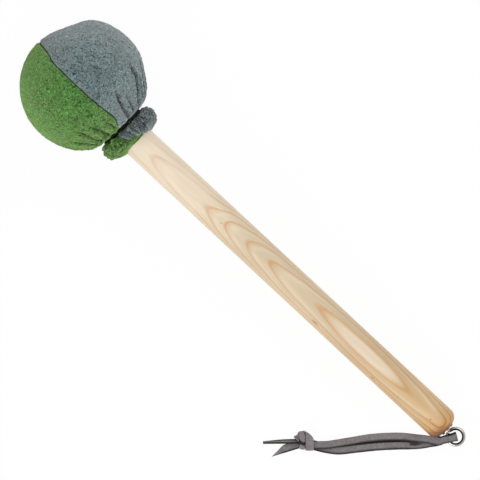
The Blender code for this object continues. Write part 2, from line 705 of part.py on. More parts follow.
def oval_band(name, place, size, bearing, parent, collection):
    """A short oval band of the knot that lies across the lace, its long way level."""
    along, across, high = size
    middle = Vector((*place, TABLE_CLEARANCE + high / 2.0))

    def build(bm):
        frame = (Matrix.Translation(middle - parent.location) @ Matrix.Rotation(bearing, 4, "Z")
                 @ Matrix.Rotation(math.pi / 2.0, 4, "Y") @ Matrix.Diagonal((high, across, along, 1.0)))
        bmesh.ops.create_cone(bm, cap_ends=True, segments=20, radius1=0.5, radius2=0.5, depth=1.0,
                              matrix=frame)

    made = add_object(name, mesh_from(name, build), "suede", parent, collection)
    made.data.shade_smooth()
    rounding = made.modifiers.new("rounding", "BEVEL")
    rounding.width = KNOT_ROUNDING
    rounding.segments = 2
    rounding.limit_method = "ANGLE"
    rounding.angle_limit = math.radians(40)
    return made


def make_lace_knot(parent):
    collar_place, band_place, _ = knot_places()
    turned_bearing = KNOT_BEARING + KNOT_BAND_TURN
    collar = oval_band("lace_knot", collar_place, KNOT_COLLAR_SIZE, KNOT_BEARING, parent, "gong_mallet")
    band = oval_band("knot_band", band_place, KNOT_BAND_SIZE, turned_bearing, parent, "cutters")
    boolean(collar, as_cutter(band), "UNION")


def tail_points(route, heights):
    far_face = knot_places()[2]
    places = [Vector((far_face.x + x / 1000.0, far_face.y + y / 1000.0, z))
              for (x, y, _, _), z in zip(route, heights)]
    return through(places, TAIL_STEPS)


def tail_widths(route):
    pairs = [Vector((left, right)) * (LACE_WIDTH / 2.0) for _, _, left, right in route]
    return [tuple(pair) for pair in through(pairs, TAIL_STEPS)]


def make_lace_tails(parent):
    lean = math.sin(UPPER_TAIL_TILT)
    heights = [TABLE_CLEARANCE + left * LACE_WIDTH / 2.0 * lean + LACE_THICKNESS / 2.0
               for _, _, left, _ in UPPER_TAIL]
    points = tail_points(UPPER_TAIL, heights)
    sides = [side * math.cos(UPPER_TAIL_TILT) + Vector((0.0, 0.0, lean)) for side in flat_sides(points)]
    ribbon("lace_tail_upper", points, sides, tail_widths(UPPER_TAIL), parent)

    drop = LOWER_TAIL_START - LACE_LIE
    heights = [LACE_LIE + drop * (1.0 - i / (len(LOWER_TAIL) - 1)) ** 2 for i in range(len(LOWER_TAIL))]
    points = tail_points(LOWER_TAIL, heights)
    ribbon("lace_tail_lower", points, flat_sides(points), tail_widths(LOWER_TAIL), parent)


def build_mallet():
    clear_scene()
    new_collection("gong_mallet")
    new_collection("cutters")
    parts = bpy.data.collections["gong_mallet"]

    mallet = bpy.data.objects.new("mallet_axis", None)
    mallet.location = (0.0, 0.0, HEAD_HEIGHT)
    mallet.rotation_euler = (0.0, TILT - math.pi / 2.0, 0.0)
    parts.objects.link(mallet)
    lace = bpy.data.objects.new("lace_swing", None)
    lace.location = LACE_CROSSING
    parts.objects.link(lace)

    make_table_cutter()
    make_handle(mallet)
    make_head_core(mallet)
    make_felt_wrap(mallet)
    make_core_screw(mallet)
    make_foam(mallet)
    make_cover(mallet, "cover_grey", "grey_fleece", 1)
    make_cover(mallet, "cover_green", "green_fleece", -1)
    make_seam_thread(mallet)
    make_neck_tie(mallet)
    make_screw_eye(mallet)
    make_lace_loop(lace)
    make_lace_knot(lace)
    make_lace_tails(lace)

    print("head height %.5f, tilt %.4f degrees" % (HEAD_HEIGHT, math.degrees(TILT)))
    print("lace hinge at", [round(value, 5) for value in LACE_CROSSING],
          "axis", [round(value, 5) for value in LACE_AXIS])
    print("eye middle at", [round(value, 5) for value in EYE_MIDDLE])


build_mallet()
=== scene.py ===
"""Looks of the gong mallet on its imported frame: fleece head, maple handle, screw eye and suede lace.

The mallet lies on a table. Metres, +X towards the butt, +Y towards the grey half, +Z up. Along the
handle a place is given by its station, the distance from the middle of the head. Around it a place
is given by its turn, which is zero on the upper side and grows towards the grey half.
"""
import json
import math
from functools import partial

import bmesh
import bpy
from bpy.props import FloatProperty, FloatVectorProperty, IntProperty, PointerProperty
from mathutils import Matrix, Vector, noise


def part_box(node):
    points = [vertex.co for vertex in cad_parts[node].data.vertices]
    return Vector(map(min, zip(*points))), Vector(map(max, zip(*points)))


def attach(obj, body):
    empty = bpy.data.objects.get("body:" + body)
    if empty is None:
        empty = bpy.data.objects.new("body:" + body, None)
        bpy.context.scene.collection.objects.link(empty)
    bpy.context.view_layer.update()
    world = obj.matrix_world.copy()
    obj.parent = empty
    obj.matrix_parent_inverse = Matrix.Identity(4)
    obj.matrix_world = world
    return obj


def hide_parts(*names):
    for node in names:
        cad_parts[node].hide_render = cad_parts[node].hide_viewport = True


bl_info = {
    "name": "Gong Mallet",
    "version": (1, 0, 0),
    "blender": (4, 5, 0),
    "location": "3D View > Sidebar > Gong Mallet",
    "description": "Builds the looks of a soft-headed gong mallet on its packed frame",
    "category": "Add Mesh",
}

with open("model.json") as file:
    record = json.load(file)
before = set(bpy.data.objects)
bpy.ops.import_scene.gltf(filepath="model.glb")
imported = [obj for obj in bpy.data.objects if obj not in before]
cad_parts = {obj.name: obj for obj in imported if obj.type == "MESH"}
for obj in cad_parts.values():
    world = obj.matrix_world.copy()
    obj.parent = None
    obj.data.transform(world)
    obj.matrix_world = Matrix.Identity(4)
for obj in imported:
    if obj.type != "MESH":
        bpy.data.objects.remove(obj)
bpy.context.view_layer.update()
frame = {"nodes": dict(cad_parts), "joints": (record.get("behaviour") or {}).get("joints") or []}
MM = 0.001

# Head: shares of its radius at angles in degrees from the end, for the grey and the green side
GREY_OUTLINE = ((0, 0.964), (15, 0.960), (30, 0.958), (42, 0.988), (52, 1.046), (62, 1.074),
                (90, 1.074), (105, 1.064), (118, 1.024), (130, 0.998), (150, 1.000))
GREEN_OUTLINE = ((0, 0.964), (25, 0.955), (50, 0.946), (90, 0.954), (116, 0.966), (150, 0.992))
NECK_ANGLE = 143.3
NECK_SLANT = 0.05
SLANT_STATIONS = (0.0269, 0.0404)

# Seam: the turn of its plane, and how far it wanders towards the grey half, in millimetres
SEAM_TURN = -4.0
SEAM_SHIFT = ((0, 4.0), (28, 4.3), (39, 3.7), (46, 2.4), (55, 2.1), (90, 2.2), (112, 2.7),
              (130, 3.3), (137, 2.6), (143.3, 0.3))
SEAM_SIDE = Vector((0.0, math.cos(math.radians(SEAM_TURN)), -math.sin(math.radians(SEAM_TURN))))

# From the end of the ball into the groove of the tie and over the hem to its mouth: station and
# radius in millimetres
NECK_PROFILE = ((38.89, 29.0), (40.3, 26.6), (41.0, 23.6), (40.9, 20.2), (41.1, 17.4), (42.8, 16.9),
                (44.5, 17.4), (44.8, 20.2), (45.3, 22.2), (47.0, 23.6), (49.6, 24.0), (52.6, 24.0),
                (55.3, 22.9), (57.5, 20.8), (59.2, 17.6), (60.6, 14.6), (60.7, 13.3))
GROOVE_KNOT = 5
CREST_KNOT = 10
# Turn of each panel's upper edge at those places
GREY_EDGE = (-4, -4.5, -5, -6, -7, -8, -10, -12, -14, -17, -17.5, -17, -16.5, -16, -16, -16, -16)
GREEN_EDGE = (-4, -4.5, -5, -6, -7, -8, -4, 6, 14, 24, 29, 30, 30, 30, 30, 30, 30)
# Mouth stations in millimetres at turns in degrees
GREY_MOUTH = ((-20, 50.6), (-16, 51.2), (-10, 52.7), (0, 53.4), (12, 55.4), (25, 57.9), (45, 58.3),
              (62, 59.3), (80, 60.5), (120, 60.9), (180, 60.7))
GREEN_MOUTH = ((-180, 60.7), (-90, 60.8), (-62, 60.2), (-50, 59.0), (-35, 58.6), (-22, 58.3),
               (0, 58.2), (20, 57.9), (40, 57.6))

# Folds of the gathered fleece: depth and width in millimetres, then angles from the end and turns
FOLDS = (
    (2.6, 1.5, (112, 20), (119, 18), (128, 17), (145, 18)),
    (3.6, 1.5, (106, 50), (116, 51), (128, 48), (137, 45), (147, 46)),
    (1.2, 1.1, (120, 59), (145, 56)),
    (1.4, 1.1, (122, 27), (133, 29), (146, 29)),
    (1.5, 1.3, (110, 72), (125, 70), (137, 69), (146, 64)),
    (1.6, 1.5, (102, 84), (120, 80), (145, 78)),
    (2.2, 1.6, (110, 94), (125, 90), (145, 89)),
    (1.5, 1.3, (118, 104), (145, 100)),
    (2.6, 1.7, (104, 118), (122, 115), (145, 114)),
    (1.7, 1.3, (117, 130), (145, 129)),
    (2.3, 1.5, (109, 145), (128, 143), (145, 141)),
    (1.6, 1.2, (120, 157), (145, 156)),
    (2.1, 1.6, (113, 169), (145, 168)),
    (1.6, 1.1, (128, -10), (138, -9), (146, -9)),
    (2.4, 1.5, (119, -24), (128, -24), (138, -24), (146, -26)),
    (1.8, 1.5, (113, -36), (126, -37), (137, -40), (146, -41)),
    (1.6, 1.5, (117, -56), (129, -53), (146, -55)),
    (2.0, 1.6, (107, -78), (124, -76), (145, -75)),
    (1.5, 1.3, (119, -92), (145, -90)),
    (2.5, 1.7, (105, -106), (124, -104), (145, -103)),
    (1.6, 1.3, (118, -120), (145, -118)),
    (2.2, 1.5, (110, -134), (128, -133), (145, -131)),
    (1.6, 1.3, (119, -148), (145, -147)),
    (2.3, 1.6, (108, -163), (126, -162), (145, -160)),
)

# Angle from the end at which the folds begin, and millimetres to a degree on the ball's equator
FOLDS_BEGIN = 94.0
DEGREE_MM = 48.5 * math.pi / 180.0
# Hem in millimetres: its mean radius and its least one, the radius of the green half under the
# grey flap, how far it gives way there, and the reach of the flap's tucked edge
HEM_RADIUS = 24.0
HEM_INNER = 13.6
FLAP_UNDER = 20.3
FLAP_ROOM = 3.4
FLAP_TUCK = 1.3

# Growth rings of the maple: their spacing, the pith's depth under the axis, and against the
# station in millimetres the depth in rings and the pith's side place in millimetres
RING_SPACING = 0.002
PITH_UNDER = 0.0173
PITH_DEPTH = ((0, -5), (45, -3), (79, -2), (110, -1.35), (134.5, -1), (151, 0), (172, 1), (197, 2),
              (249, 3), (295, 3.36), (340, 3), (362, 2.5), (374, 2.2), (400, 1))
PITH_SIDE = ((0, 1.5), (134, 1.5), (151, 0.3), (172, 0), (185, -0.6), (197, -1.5), (210, -0.8),
             (225, -1.3), (260, -2.2), (285, -1.4), (340, -1.0), (400, -1.0))
HANDLE_SPAN = 400.0
# Mineral flecks: station, side, and half length and half width, in millimetres
FLECKS = ((251.2, -9.3, 4.5, 0.6), (312.3, -10.3, 1.7, 0.5), (147.0, -2.9, 0.8, 0.5),
          (365.8, -3.3, 1.1, 0.7))

# Stations in metres: the middle of the tie, the middle of the head's core, the butt, the tip of the
# eye's shank, its washer and the middle of its ring
TIE_STATION = 0.04279
CORE_STATION = -0.001
BUTT_STATION = 0.38128
EYE_TIP_STATION = 0.36311
WASHER_STATION = 0.38141
EYE_STATION = 0.39041
# Radius of the screw eye's hole in the butt and in its washer, and of its shank
EYE_BORE = 0.00157
EYE_SHANK = 0.00127

# Lace: routes of both strands from the eye to the knot as (x, y) from where it crosses the eye's
# wire, the share of the eye's height that is left and the lift over that, in millimetres
UPPER_STRAND = ((-1.6, -2.6, 1.00, 3.15), (-3.8, -5.9, 0.93, 1.90), (-10.0, -10.3, 0.62, 1.30),
                (-16.2, -14.9, 0.36, 1.15), (-22.2, -19.4, 0.17, 1.20), (-28.0, -24.1, 0.07, 1.30),
                (-35.9, -31.8, 0.02, 0.20), (-43.5, -40.2, 0.00, 0.05), (-50.6, -49.3, 0.00, 0.05),
                (-57.5, -58.2, 0.00, 1.80), (-63.6, -65.8, 0.00, 2.30), (-70.6, -72.8, 0.00, 3.30))
LOWER_STRAND = ((-1.6, -2.6, 1.00, -3.15), (-3.8, -6.0, 0.93, -2.30), (-8.0, -12.7, 0.62, -1.20),
                (-12.5, -18.5, 0.36, -1.10), (-17.7, -23.9, 0.17, -0.70), (-23.1, -29.1, 0.07, -0.50),
                (-31.0, -37.1, 0.00, 0.00), (-38.7, -45.5, 0.00, 0.00), (-46.2, -54.2, 0.00, 0.00),
                (-53.8, -62.9, 0.00, 0.00), (-61.5, -68.7, 0.00, 0.10), (-70.1, -73.5, 0.00, 0.80))
# Height of the lace's middle where it lies flat, and the way that it leaves the eye
LACE_LIE = 0.0009
LACE_BEARING = Vector((-0.54, -0.84, 0.0)).normalized()
# The turn of the lace round the wire: half its height, how far it reaches into the eye, and how
# far before the wire it starts
TURN_RADIUS = 0.0035
TURN_REACH = 0.0060
TURN_SLACK = 0.00075
KNOT_BEARING = math.radians(222.96)
KNOT_BAND_TURN = math.radians(-28.0)
# The knot along and beside its bearing from the eye, and the middle and half length of its band
KNOT_START = 0.1020
KNOT_OFFSET = 0.00135
KNOT_BAND = (0.0105, 0.0029)
# Bands of the knot: in millimetres their place along and beside it, width, half reach to each
# side, height, thickness and pinch at one side, then their turn in degrees, and how dark the left
# edge and the whole band are painted as shade. The last one is the knot's shaded inside, painted dark
KNOT_WRAPS = ((2.9, 0.4, 6.6, 7.7, 9.6, 1.6, 6.2, 0.0, 0.0, 0.0),
              (8.1, -2.1, 5.6, 5.1, 9.2, 1.6, -3.2, 17.0, 1.0, 0.0),
              (9.8, -1.4, 2.0, 4.0, 8.0, 1.0, 0.0, 50.0, 1.0, 0.0),
              (11.3, -0.3, 2.0, 4.3, 6.6, 1.0, 0.0, 50.0, 1.0, 0.0),
              (8.4, 4.3, 4.8, 2.9, 6.8, 1.6, 0.0, -15.0, 0.0, 0.0),
              (7.2, -0.4, 7.6, 5.5, 8.0, 3.0, 0.0, 0.0, 0.0, 0.95))
# Tails: (x, y) from the middle of the band's far face, and the reach to each side as a share of
# half the lace's width
UPPER_TAIL = ((3.7, 0.5, 0.90, 0.90), (-3.1, -6.1, 0.87, 0.83), (-7.5, -10.5, 0.77, 0.67),
              (-12.0, -15.3, 0.63, 0.40), (-16.1, -19.8, 0.50, 0.10))
UPPER_TAIL_TILT = math.radians(60.0)
LOWER_TAIL = ((5.4, -0.6, 0.58, 1.00), (1.2, -7.9, 1.00, 1.00), (-1.3, -12.2, 0.95, 1.00),
              (-3.8, -16.4, 0.05, 1.00), (-6.7, -21.5, -0.95, 1.00))
TABLE_CLEARANCE = 0.00015
# Places across the lace's face, as shares of half its width
SECTION_SHARES = (-0.93, -0.8, -0.6, -0.4, -0.2, 0.0, 0.2, 0.4, 0.6, 0.8, 0.93)

# Stage: the point under the camera and the view's turn in degrees, what the lamps aim at, their
# width, and the place and power of each
VIEW_MIDDLE = (0.16674, -0.00227, 0.03)
VIEW_TURN = 42.96
LAMP_AIM = Vector((0.15, 0.0, 0.0))
LAMP_WIDTH = 1.8
LAMPS = (("key_light", (0.35, 1.7, 1.5), 16.5), ("fill_light", (0.9, -1.5, 1.3), 23.5),
         ("head_light", (-1.9, 0.1, 1.4), 8.6))


def hex_colour(text):
    """Linear RGBA of an sRGB hex colour."""
    linear = []
    for i in (1, 3, 5):
        channel = int(text[i:i + 2], 16) / 255.0
        linear.append(channel / 12.92 if channel <= 0.04045 else ((channel + 0.055) / 1.055) ** 2.4)
    return (*linear, 1.0)


def shade(colour, share):
    """A colour times a share."""
    return (*(channel * share for channel in tuple(colour)[:3]), 1.0)


def middle_of(node):
    low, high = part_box(node)
    return (low + high) / 2.0


def eased(low, high, value):
    """0 below low, 1 above high and a smooth ease between them."""
    share = min(max((value - low) / (high - low), 0.0), 1.0)
    return share * share * (3.0 - 2.0 * share)


def smooth_between(a, b, c, d, share):
    """Catmull-Rom point between b and c, with a and d as their outer neighbours."""
    return 0.5 * ((2.0 * b) + (c - a) * share + (2.0 * a - 5.0 * b + 4.0 * c - d) * share ** 2
                  + (3.0 * b - 3.0 * c + d - a) * share ** 3)


def knot_value(values, place):
    """Smooth reading of a row of values at a place counted in values."""
    last = len(values) - 1
    index = min(int(place), last - 1)
    return smooth_between(values[max(index - 1, 0)], values[index], values[index + 1],
                          values[min(index + 2, last)], place - index)


def curve_value(points, x):
    """Smooth reading of (x, value) points, held at their ends."""
    x = min(max(x, points[0][0]), points[-1][0])
    index = min(sum(1 for point in points[1:] if point[0] < x), len(points) - 2)
    share = (x - points[index][0]) / (points[index + 1][0] - points[index][0])
    return knot_value([point[1] for point in points], index + share)


# The mallet's axis, through the washers at both of its ends
ALONG = (middle_of("eye_washer") - middle_of("core_washer")).normalized()
ACROSS = Vector((0.0, 1.0, 0.0))
UPWARD = ALONG.cross(ACROSS)
LIFT = Vector((0.0, 0.0, 1.0))
HEAD_MIDDLE = middle_of("core_washer") - ALONG * (middle_of("core_washer").x / ALONG.x)
TO_WORLD = Matrix((ALONG, ACROSS, UPWARD)).transposed().to_4x4()
TO_WORLD.translation = HEAD_MIDDLE
CROSSING = Vector(frame["joints"][0]["pos_m"])
EYE_MIDDLE = HEAD_MIDDLE + ALONG * EYE_STATION


def length_setting(name, description, default):
    """A length that a user can change."""
    return FloatProperty(name=name, description=description, default=default, unit="LENGTH")


def colour_setting(name, description, text):
    """A colour that a user can change, from its sRGB hex value."""
    return FloatVectorProperty(name=name, description=description, default=hex_colour(text), size=4,
                               subtype="COLOR")


class HeadSettings(bpy.types.PropertyGroup):
    radius: length_setting("Radius", "Mean radius of the ball", 0.0485)
    fleece: length_setting("Fleece", "Thickness of the fleece", 0.0018)
    nap: length_setting("Nap", "Size of the pilled nap's curls", 0.0023)
    grey: colour_setting("Grey fleece", "Colour of the grey half", "#607477")
    green: colour_setting("Green fleece", "Colour of the green half", "#437636")
    rows: IntProperty(name="Rows", description="Rows of the ball's mesh", default=150)
    columns: IntProperty(name="Columns", description="Columns of each panel's mesh", default=200)


class TieSettings(bpy.types.PropertyGroup):
    radius: length_setting("Radius", "Radius of the neck's cord", 0.0006)
    thread: length_setting("Thread", "Radius of the seam's thread", 0.00018)
    colour: colour_setting("Cord", "Colour of the cord and thread", "#060606")


class HandleSettings(bpy.types.PropertyGroup):
    radius: length_setting("Radius", "Radius of the handle", 0.0127)
    rounding: length_setting("Butt rounding", "Radius of the butt's edge", 0.0074)
    pale: colour_setting("Pale maple", "Wood near the head", "#f0e0c8")
    golden: colour_setting("Golden maple", "Wood near the butt", "#d0af7f")
    grain: colour_setting("Grain", "Late wood of the growth rings", "#cf975c")


class EyeSettings(bpy.types.PropertyGroup):
    radius: length_setting("Radius", "Radius of the ring to its wire's middle", 0.00625)
    wire: length_setting("Wire", "Radius of the wire", 0.00135)
    nickel: colour_setting("Nickel", "Colour of the nickel plate", "#b9b6ae")


class LaceSettings(bpy.types.PropertyGroup):
    width: length_setting("Width", "Width of the lace", 0.006)
    thickness: length_setting("Thickness", "Thickness of the suede", 0.0015)
    suede: colour_setting("Suede", "Colour of the suede's nap", "#807a7c")
    # The cut edges' colour is also the colour of the shade painted on the lace
    cut: colour_setting("Cut edge", "Colour of the lace's cut edges", "#1b1817")


class StageSettings(bpy.types.PropertyGroup):
    height: length_setting("Camera height", "Height of the camera over the mallet", 6.0)
    frame_width: length_setting("Frame width", "Width of the view on the table", 0.3638)
    white: colour_setting("Background", "Colour of the background", "#ffffff")


class MalletSettings(bpy.types.PropertyGroup):
    head: PointerProperty(type=HeadSettings)
    tie: PointerProperty(type=TieSettings)
    handle: PointerProperty(type=HandleSettings)
    eye: PointerProperty(type=EyeSettings)
    lace: PointerProperty(type=LaceSettings)
    stage: PointerProperty(type=StageSettings)


def settings():
    return bpy.context.scene.gong_mallet


def feed(tree, socket, value):
    """Gives a socket a value or an sRGB hex colour, or links it to another socket or to the first
    output in use of a node."""
    if isinstance(value, str):
        value = hex_colour(value)
    if isinstance(value, bpy.types.Node):
        value = next(output for output in value.outputs if output.enabled)
    if isinstance(value, bpy.types.NodeSocket):
        tree.links.new(value, socket)
    else:
        socket.default_value = value


def stop_colour(value):
    """Linear RGBA of a ramp's stop: a grey level, an sRGB hex colour or a linear one."""
    if isinstance(value, float):
        return value, value, value, 1.0
    return hex_colour(value) if isinstance(value, str) else tuple(value)


def add_node(tree, kind, sockets=None, stops=None, curve=None, **options):
    """Adds a shader node. Options are its settings, sockets what feeds its sockets, stops the
    (place, colour) pairs of its ramp and curve the (x, y) points of its curve. A Mix node takes
    its share in socket 0 and its colours in sockets 6 and 7."""
    node = tree.nodes.new("ShaderNode" + kind)
    for name, value in options.items():
        setattr(node, name, value)
    if stops:
        elements = node.color_ramp.elements
        elements[0].position = stops[0][0]
        elements[1].position = stops[-1][0]
        for place, _ in stops[1:-1]:
            elements.new(place)
        for element, (_, colour) in zip(elements, stops):
            element.color = stop_colour(colour)
    if curve:
        points = node.mapping.curves[0].points
        points[0].location = curve[0]
        points[1].location = curve[-1]
        for x, y in curve[1:-1]:
            points.new(x, y)
        node.mapping.update()
    for name, value in (sockets or {}).items():
        feed(tree, node.inputs[name], value)
    return node


def new_material(name, sockets):
    """A material with only a Principled shader, whose sockets get these values, and what adds
    nodes to it."""
    made = bpy.data.materials.new(name)
    made.use_nodes = True
    for socket, value in sockets.items():
        made.node_tree.nodes["Principled BSDF"].inputs[socket].default_value = value
    return made, partial(add_node, made.node_tree)


def finished(made, tone, height, distance, rough=None):
    """The material, once its shader has this tone, a bump of this distance, and a roughness."""
    tree = made.node_tree
    shader = tree.nodes["Principled BSDF"].inputs
    feed(tree, shader["Base Color"], tone)
    feed(tree, shader["Normal"], add_node(tree, "Bump", {"Height": height, "Distance": distance}))
    if rough:
        feed(tree, shader["Roughness"], rough)
    return made


def mallet_place(add):
    """Object coordinates turned into the mallet's own: station, side and height over its axis."""
    back = TO_WORLD.inverted()
    return add("Mapping", {"Vector": add("TexCoord").outputs["Object"],
                           "Location": back.translation, "Rotation": back.to_euler()})


def patterned(name, sockets, kind, pattern, stops, distance, rough=None, output=0, along=False,
              **options):
    """A material whose tone and relief, and its roughness where that has stops, follow one
    pattern, on Object coordinates or along the mallet."""
    made, add = new_material(name, sockets)
    place = mallet_place(add) if along else add("TexCoord").outputs["Object"]
    marks = add(kind, {"Vector": place, **pattern}, **options).outputs[output]
    if rough:
        rough = add("ValToRGB", {"Fac": marks}, stops=rough)
    return finished(made, add("ValToRGB", {"Fac": marks}, stops=stops), marks, distance, rough)


def mottled(add, tone, marks, stops):
    """The tone made lighter and darker by a ramp of the marks."""
    ramp = add("ValToRGB", {"Fac": marks}, stops=stops)
    return add("Mix", {0: 1.0, 6: tone, 7: ramp}, data_type="RGBA", blend_type="MULTIPLY")


def fleece_material(name, colour, tip):
    """Pilled polyester fleece: matt curls about 2 mm wide whose loose tips catch light at the rims,
    with the gaps between them painted dark as shade."""
    made, add = new_material(name, {
        "Roughness": 0.95, "Specular IOR Level": 0.1, "Sheen Weight": 1.0, "Sheen Roughness": 0.42,
        "Sheen Tint": (*tip, 1.0)})
    nap = settings().head.nap
    place = add("TexCoord").outputs["Object"]
    curls = add("TexNoise", {"Vector": place, "Scale": 1.0 / nap, "Detail": 1.0, "Distortion": 1.5})
    fine = add("TexNoise", {"Vector": place, "Scale": 2.6 / nap, "Detail": 1.0})
    broad = add("TexNoise", {"Vector": place, "Scale": 55.0, "Detail": 2.0})
    off = add("Math", {0: curls, 1: 0.5}, operation="SUBTRACT")
    off = add("Math", {0: off}, operation="ABSOLUTE")
    ridge = add("Math", {0: fine, 1: 0.08, 2: off}, operation="MULTIPLY_ADD")
    # Painted shade in the gaps between the curls
    tone = add("ValToRGB", {"Fac": ridge}, stops=(
        (0.035, shade(colour, 0.12)), (0.07, shade(colour, 0.54)), (0.12, shade(colour, 1.42)),
        (0.20, shade(colour, 2.4))))
    tone = mottled(add, tone, broad, ((0.35, 0.9), (0.65, 1.1)))
    # The folds, the seam and the tie's groove are painted dark as shade, with edges that the curls break
    # up
    fold = add("Attribute", attribute_name="fold").outputs["Fac"]
    ragged_fold_shade = add("Math", {0: curls, 1: 1.5, 2: -0.75}, operation="MULTIPLY_ADD")
    ragged_fold_shade = add("Math", {0: fold, 1: ragged_fold_shade}, operation="ADD", use_clamp=True)
    ragged_fold_shade = add("ValToRGB", {"Fac": ragged_fold_shade}, stops=((0.22, 0.0), (0.42, 0.6), (0.65, 0.97)))
    tone = add("Mix", {0: ragged_fold_shade, 6: tone, 7: shade(colour, 0.06)}, data_type="RGBA")
    height = add("Math", {0: ridge, 1: 5.0}, operation="MULTIPLY")
    return finished(made, tone, height, 0.0009)


def cord_material():
    """Waxed black polyester cord: dull black, with fibres too fine to show drawn 0.4 mm coarse."""
    return patterned("waxed black cord", {"Roughness": 0.8, "Specular IOR Level": 0.2},
                     "TexNoise", {"Scale": 2500.0, "Detail": 2.0},
                     ((0.3, settings().tie.colour), (0.8, "#151617")), 0.0001)


def maple_material():
    """Hard maple dowel, sanded and sealed: pale wood with tan growth rings 2 mm apart, which its
    surface cuts into long arches, with a few brown mineral flecks, and with pores too fine to show
    drawn as streaks half a millimetre wide."""
    made, add = new_material("sealed hard maple", {
        "Roughness": 0.42, "Specular IOR Level": 0.35, "Coat Weight": 0.08, "Coat Roughness": 0.3})
    wood = settings().handle
    place = mallet_place(add)

    def streaks(along, across, detail):
        """Noise with so many grains in a metre along and across the handle."""
        stretched = add("Mapping", {"Vector": place, "Scale": (along, across, across)})
        return add("TexNoise", {"Vector": stretched, "Scale": 1.0, "Detail": detail})

    station, side, height = add("SeparateXYZ", {"Vector": place}).outputs
    length = add("Math", {0: station, 1: HANDLE_SPAN * MM}, operation="DIVIDE")
    # The curves give 0 to 1, for -8 to 8 rings and for -4 to 4 mm
    depth = add("FloatCurve", {"Value": length}, curve=[
        (x / HANDLE_SPAN, (rings + 8.0) / 16.0) for x, rings in PITH_DEPTH])
    depth = add("Math", {0: depth, 1: 16.0 * RING_SPACING, 2: PITH_UNDER - 8.0 * RING_SPACING},
                operation="MULTIPLY_ADD")
    beside = add("FloatCurve", {"Value": length}, curve=[
        (x / HANDLE_SPAN, (y + 4.0) / 8.0) for x, y in PITH_SIDE])
    beside = add("Math", {0: beside, 1: 8.0 * MM, 2: -4.0 * MM}, operation="MULTIPLY_ADD")
    off = add("Math", {0: side, 1: beside}, operation="SUBTRACT")
    over = add("Math", {0: height, 1: depth}, operation="ADD")
    rings = add("VectorMath", {0: add("CombineXYZ", {"X": off, "Y": over})}, operation="LENGTH")
    rings = add("Math", {0: rings.outputs["Value"], 1: PITH_UNDER + wood.radius},
                operation="SUBTRACT")
    drift = streaks(22.0, 60.0, 2.0)
    wander = add("Math", {0: drift, 1: 0.36, 2: -0.18}, operation="MULTIPLY_ADD")
    count = add("Math", {0: rings, 1: 1.0 / RING_SPACING, 2: wander}, operation="MULTIPLY_ADD")
    # 50 and 150 rings are added where only the part of a ring counts, to keep it above zero
    within = add("Math", {0: add("Math", {0: count, 1: 50.0}, operation="ADD")}, operation="FRACT")
    line = add("ValToRGB", {"Fac": within}, stops=(
        (0.0, 1.0), (0.06, 0.35), (0.20, 0.06), (0.45, 0.0), (0.86, 0.0), (0.975, 0.9)))
    band = add("ValToRGB", {"Fac": within}, stops=((0.12, 0.0), (0.28, 0.32), (0.62, 0.0)))
    # The pale bands end before the butt
    before = add("ValToRGB", {"Fac": length}, stops=((0.89, 1.0), (0.94, 0.4)))
    band = add("Math", {0: band, 1: before}, operation="MULTIPLY")
    # Three finer lines in each ring show mostly at both sides of the handle
    minor = add("Math", {0: count, 1: 3.0, 2: 150.4}, operation="MULTIPLY_ADD")
    minor = add("ValToRGB", {"Fac": add("Math", {0: minor}, operation="FRACT")}, stops=(
        (0.0, 0.45), (0.25, 0.0), (0.8, 0.0), (1.0, 0.45)))
    edge = add("Math", {0: side, 1: 1.0 / wood.radius}, operation="MULTIPLY")
    edge = add("ValToRGB", {"Fac": add("Math", {0: edge}, operation="ABSOLUTE")}, stops=(
        (0.35, 0.15), (0.7, 0.8)))
    minor = add("Math", {0: minor, 1: edge}, operation="MULTIPLY")
    grain = add("Math", {0: line, 1: minor}, operation="ADD", use_clamp=True)
    strength = add("ValToRGB", {"Fac": length}, stops=(
        (0.17, 0.25), (0.197, 0.5), (0.225, 0.25), (0.31, 0.28), (0.337, 0.75), (0.40, 0.9),
        (0.83, 1.0), (0.86, 0.45), (0.90, 0.55), (0.93, 1.0)))
    fade = add("Math", {0: drift, 1: 1.0, 2: 0.3}, operation="MULTIPLY_ADD", use_clamp=True)
    for share in (strength, fade):
        grain = add("Math", {0: grain, 1: share}, operation="MULTIPLY")
    # The butt is painted brown, partly as its end grain and partly as painted shade, which reaches
    # further in on the green half's side
    butt_shade_slant = add("Math", {0: side, 1: -1.2, 2: length}, operation="MULTIPLY_ADD")
    tone = add("ValToRGB", {"Fac": butt_shade_slant}, stops=(
        (0.15, wood.pale), (0.34, "#e4d2b7"), (0.45, "#d5c2a3"), (0.62, "#d4bf9f"),
        (0.74, "#c9ae88"), (0.90, wood.golden), (0.938, "#cc9c5e"), (0.948, "#945f29"),
        (0.956, "#55300e")))
    heart = add("Math", {0: count, 1: 5.0, 2: -15.0}, operation="MULTIPLY_ADD", use_clamp=True)
    for share, colour in ((heart, "#dfccb0"), (band, "#f0e2cb")):
        tone = add("Mix", {0: share, 6: tone, 7: colour}, data_type="RGBA")
    tone = mottled(add, tone, streaks(30.0, 220.0, 3.0), ((0.35, 0.95), (0.65, 1.03)))
    late = add("ValToRGB", {"Fac": length}, stops=((0.80, wood.grain), (0.93, "#8f5c28")))
    tone = add("Mix", {0: grain, 6: tone, 7: late}, data_type="RGBA")
    for x, y, half_length, half_width in FLECKS:
        spot = add("Mapping", {
            "Vector": place, "Location": (-x / half_length, -y / half_width, 0.0),
            "Scale": (1000.0 / half_length, 1000.0 / half_width, 0.0)})
        reach = add("VectorMath", {0: spot}, operation="LENGTH").outputs["Value"]
        shown = add("ValToRGB", {"Fac": reach}, stops=((0.3, 0.85), (1.0, 0.0)))
        tone = add("Mix", {0: shown, 6: tone, 7: "#96632f"}, data_type="RGBA")
    fibre = streaks(120.0, 1800.0, 3.0)
    tone = mottled(add, tone, fibre, ((0.3, 0.955), (0.6, 1.0)))
    return finished(made, tone, fibre, 0.00003)


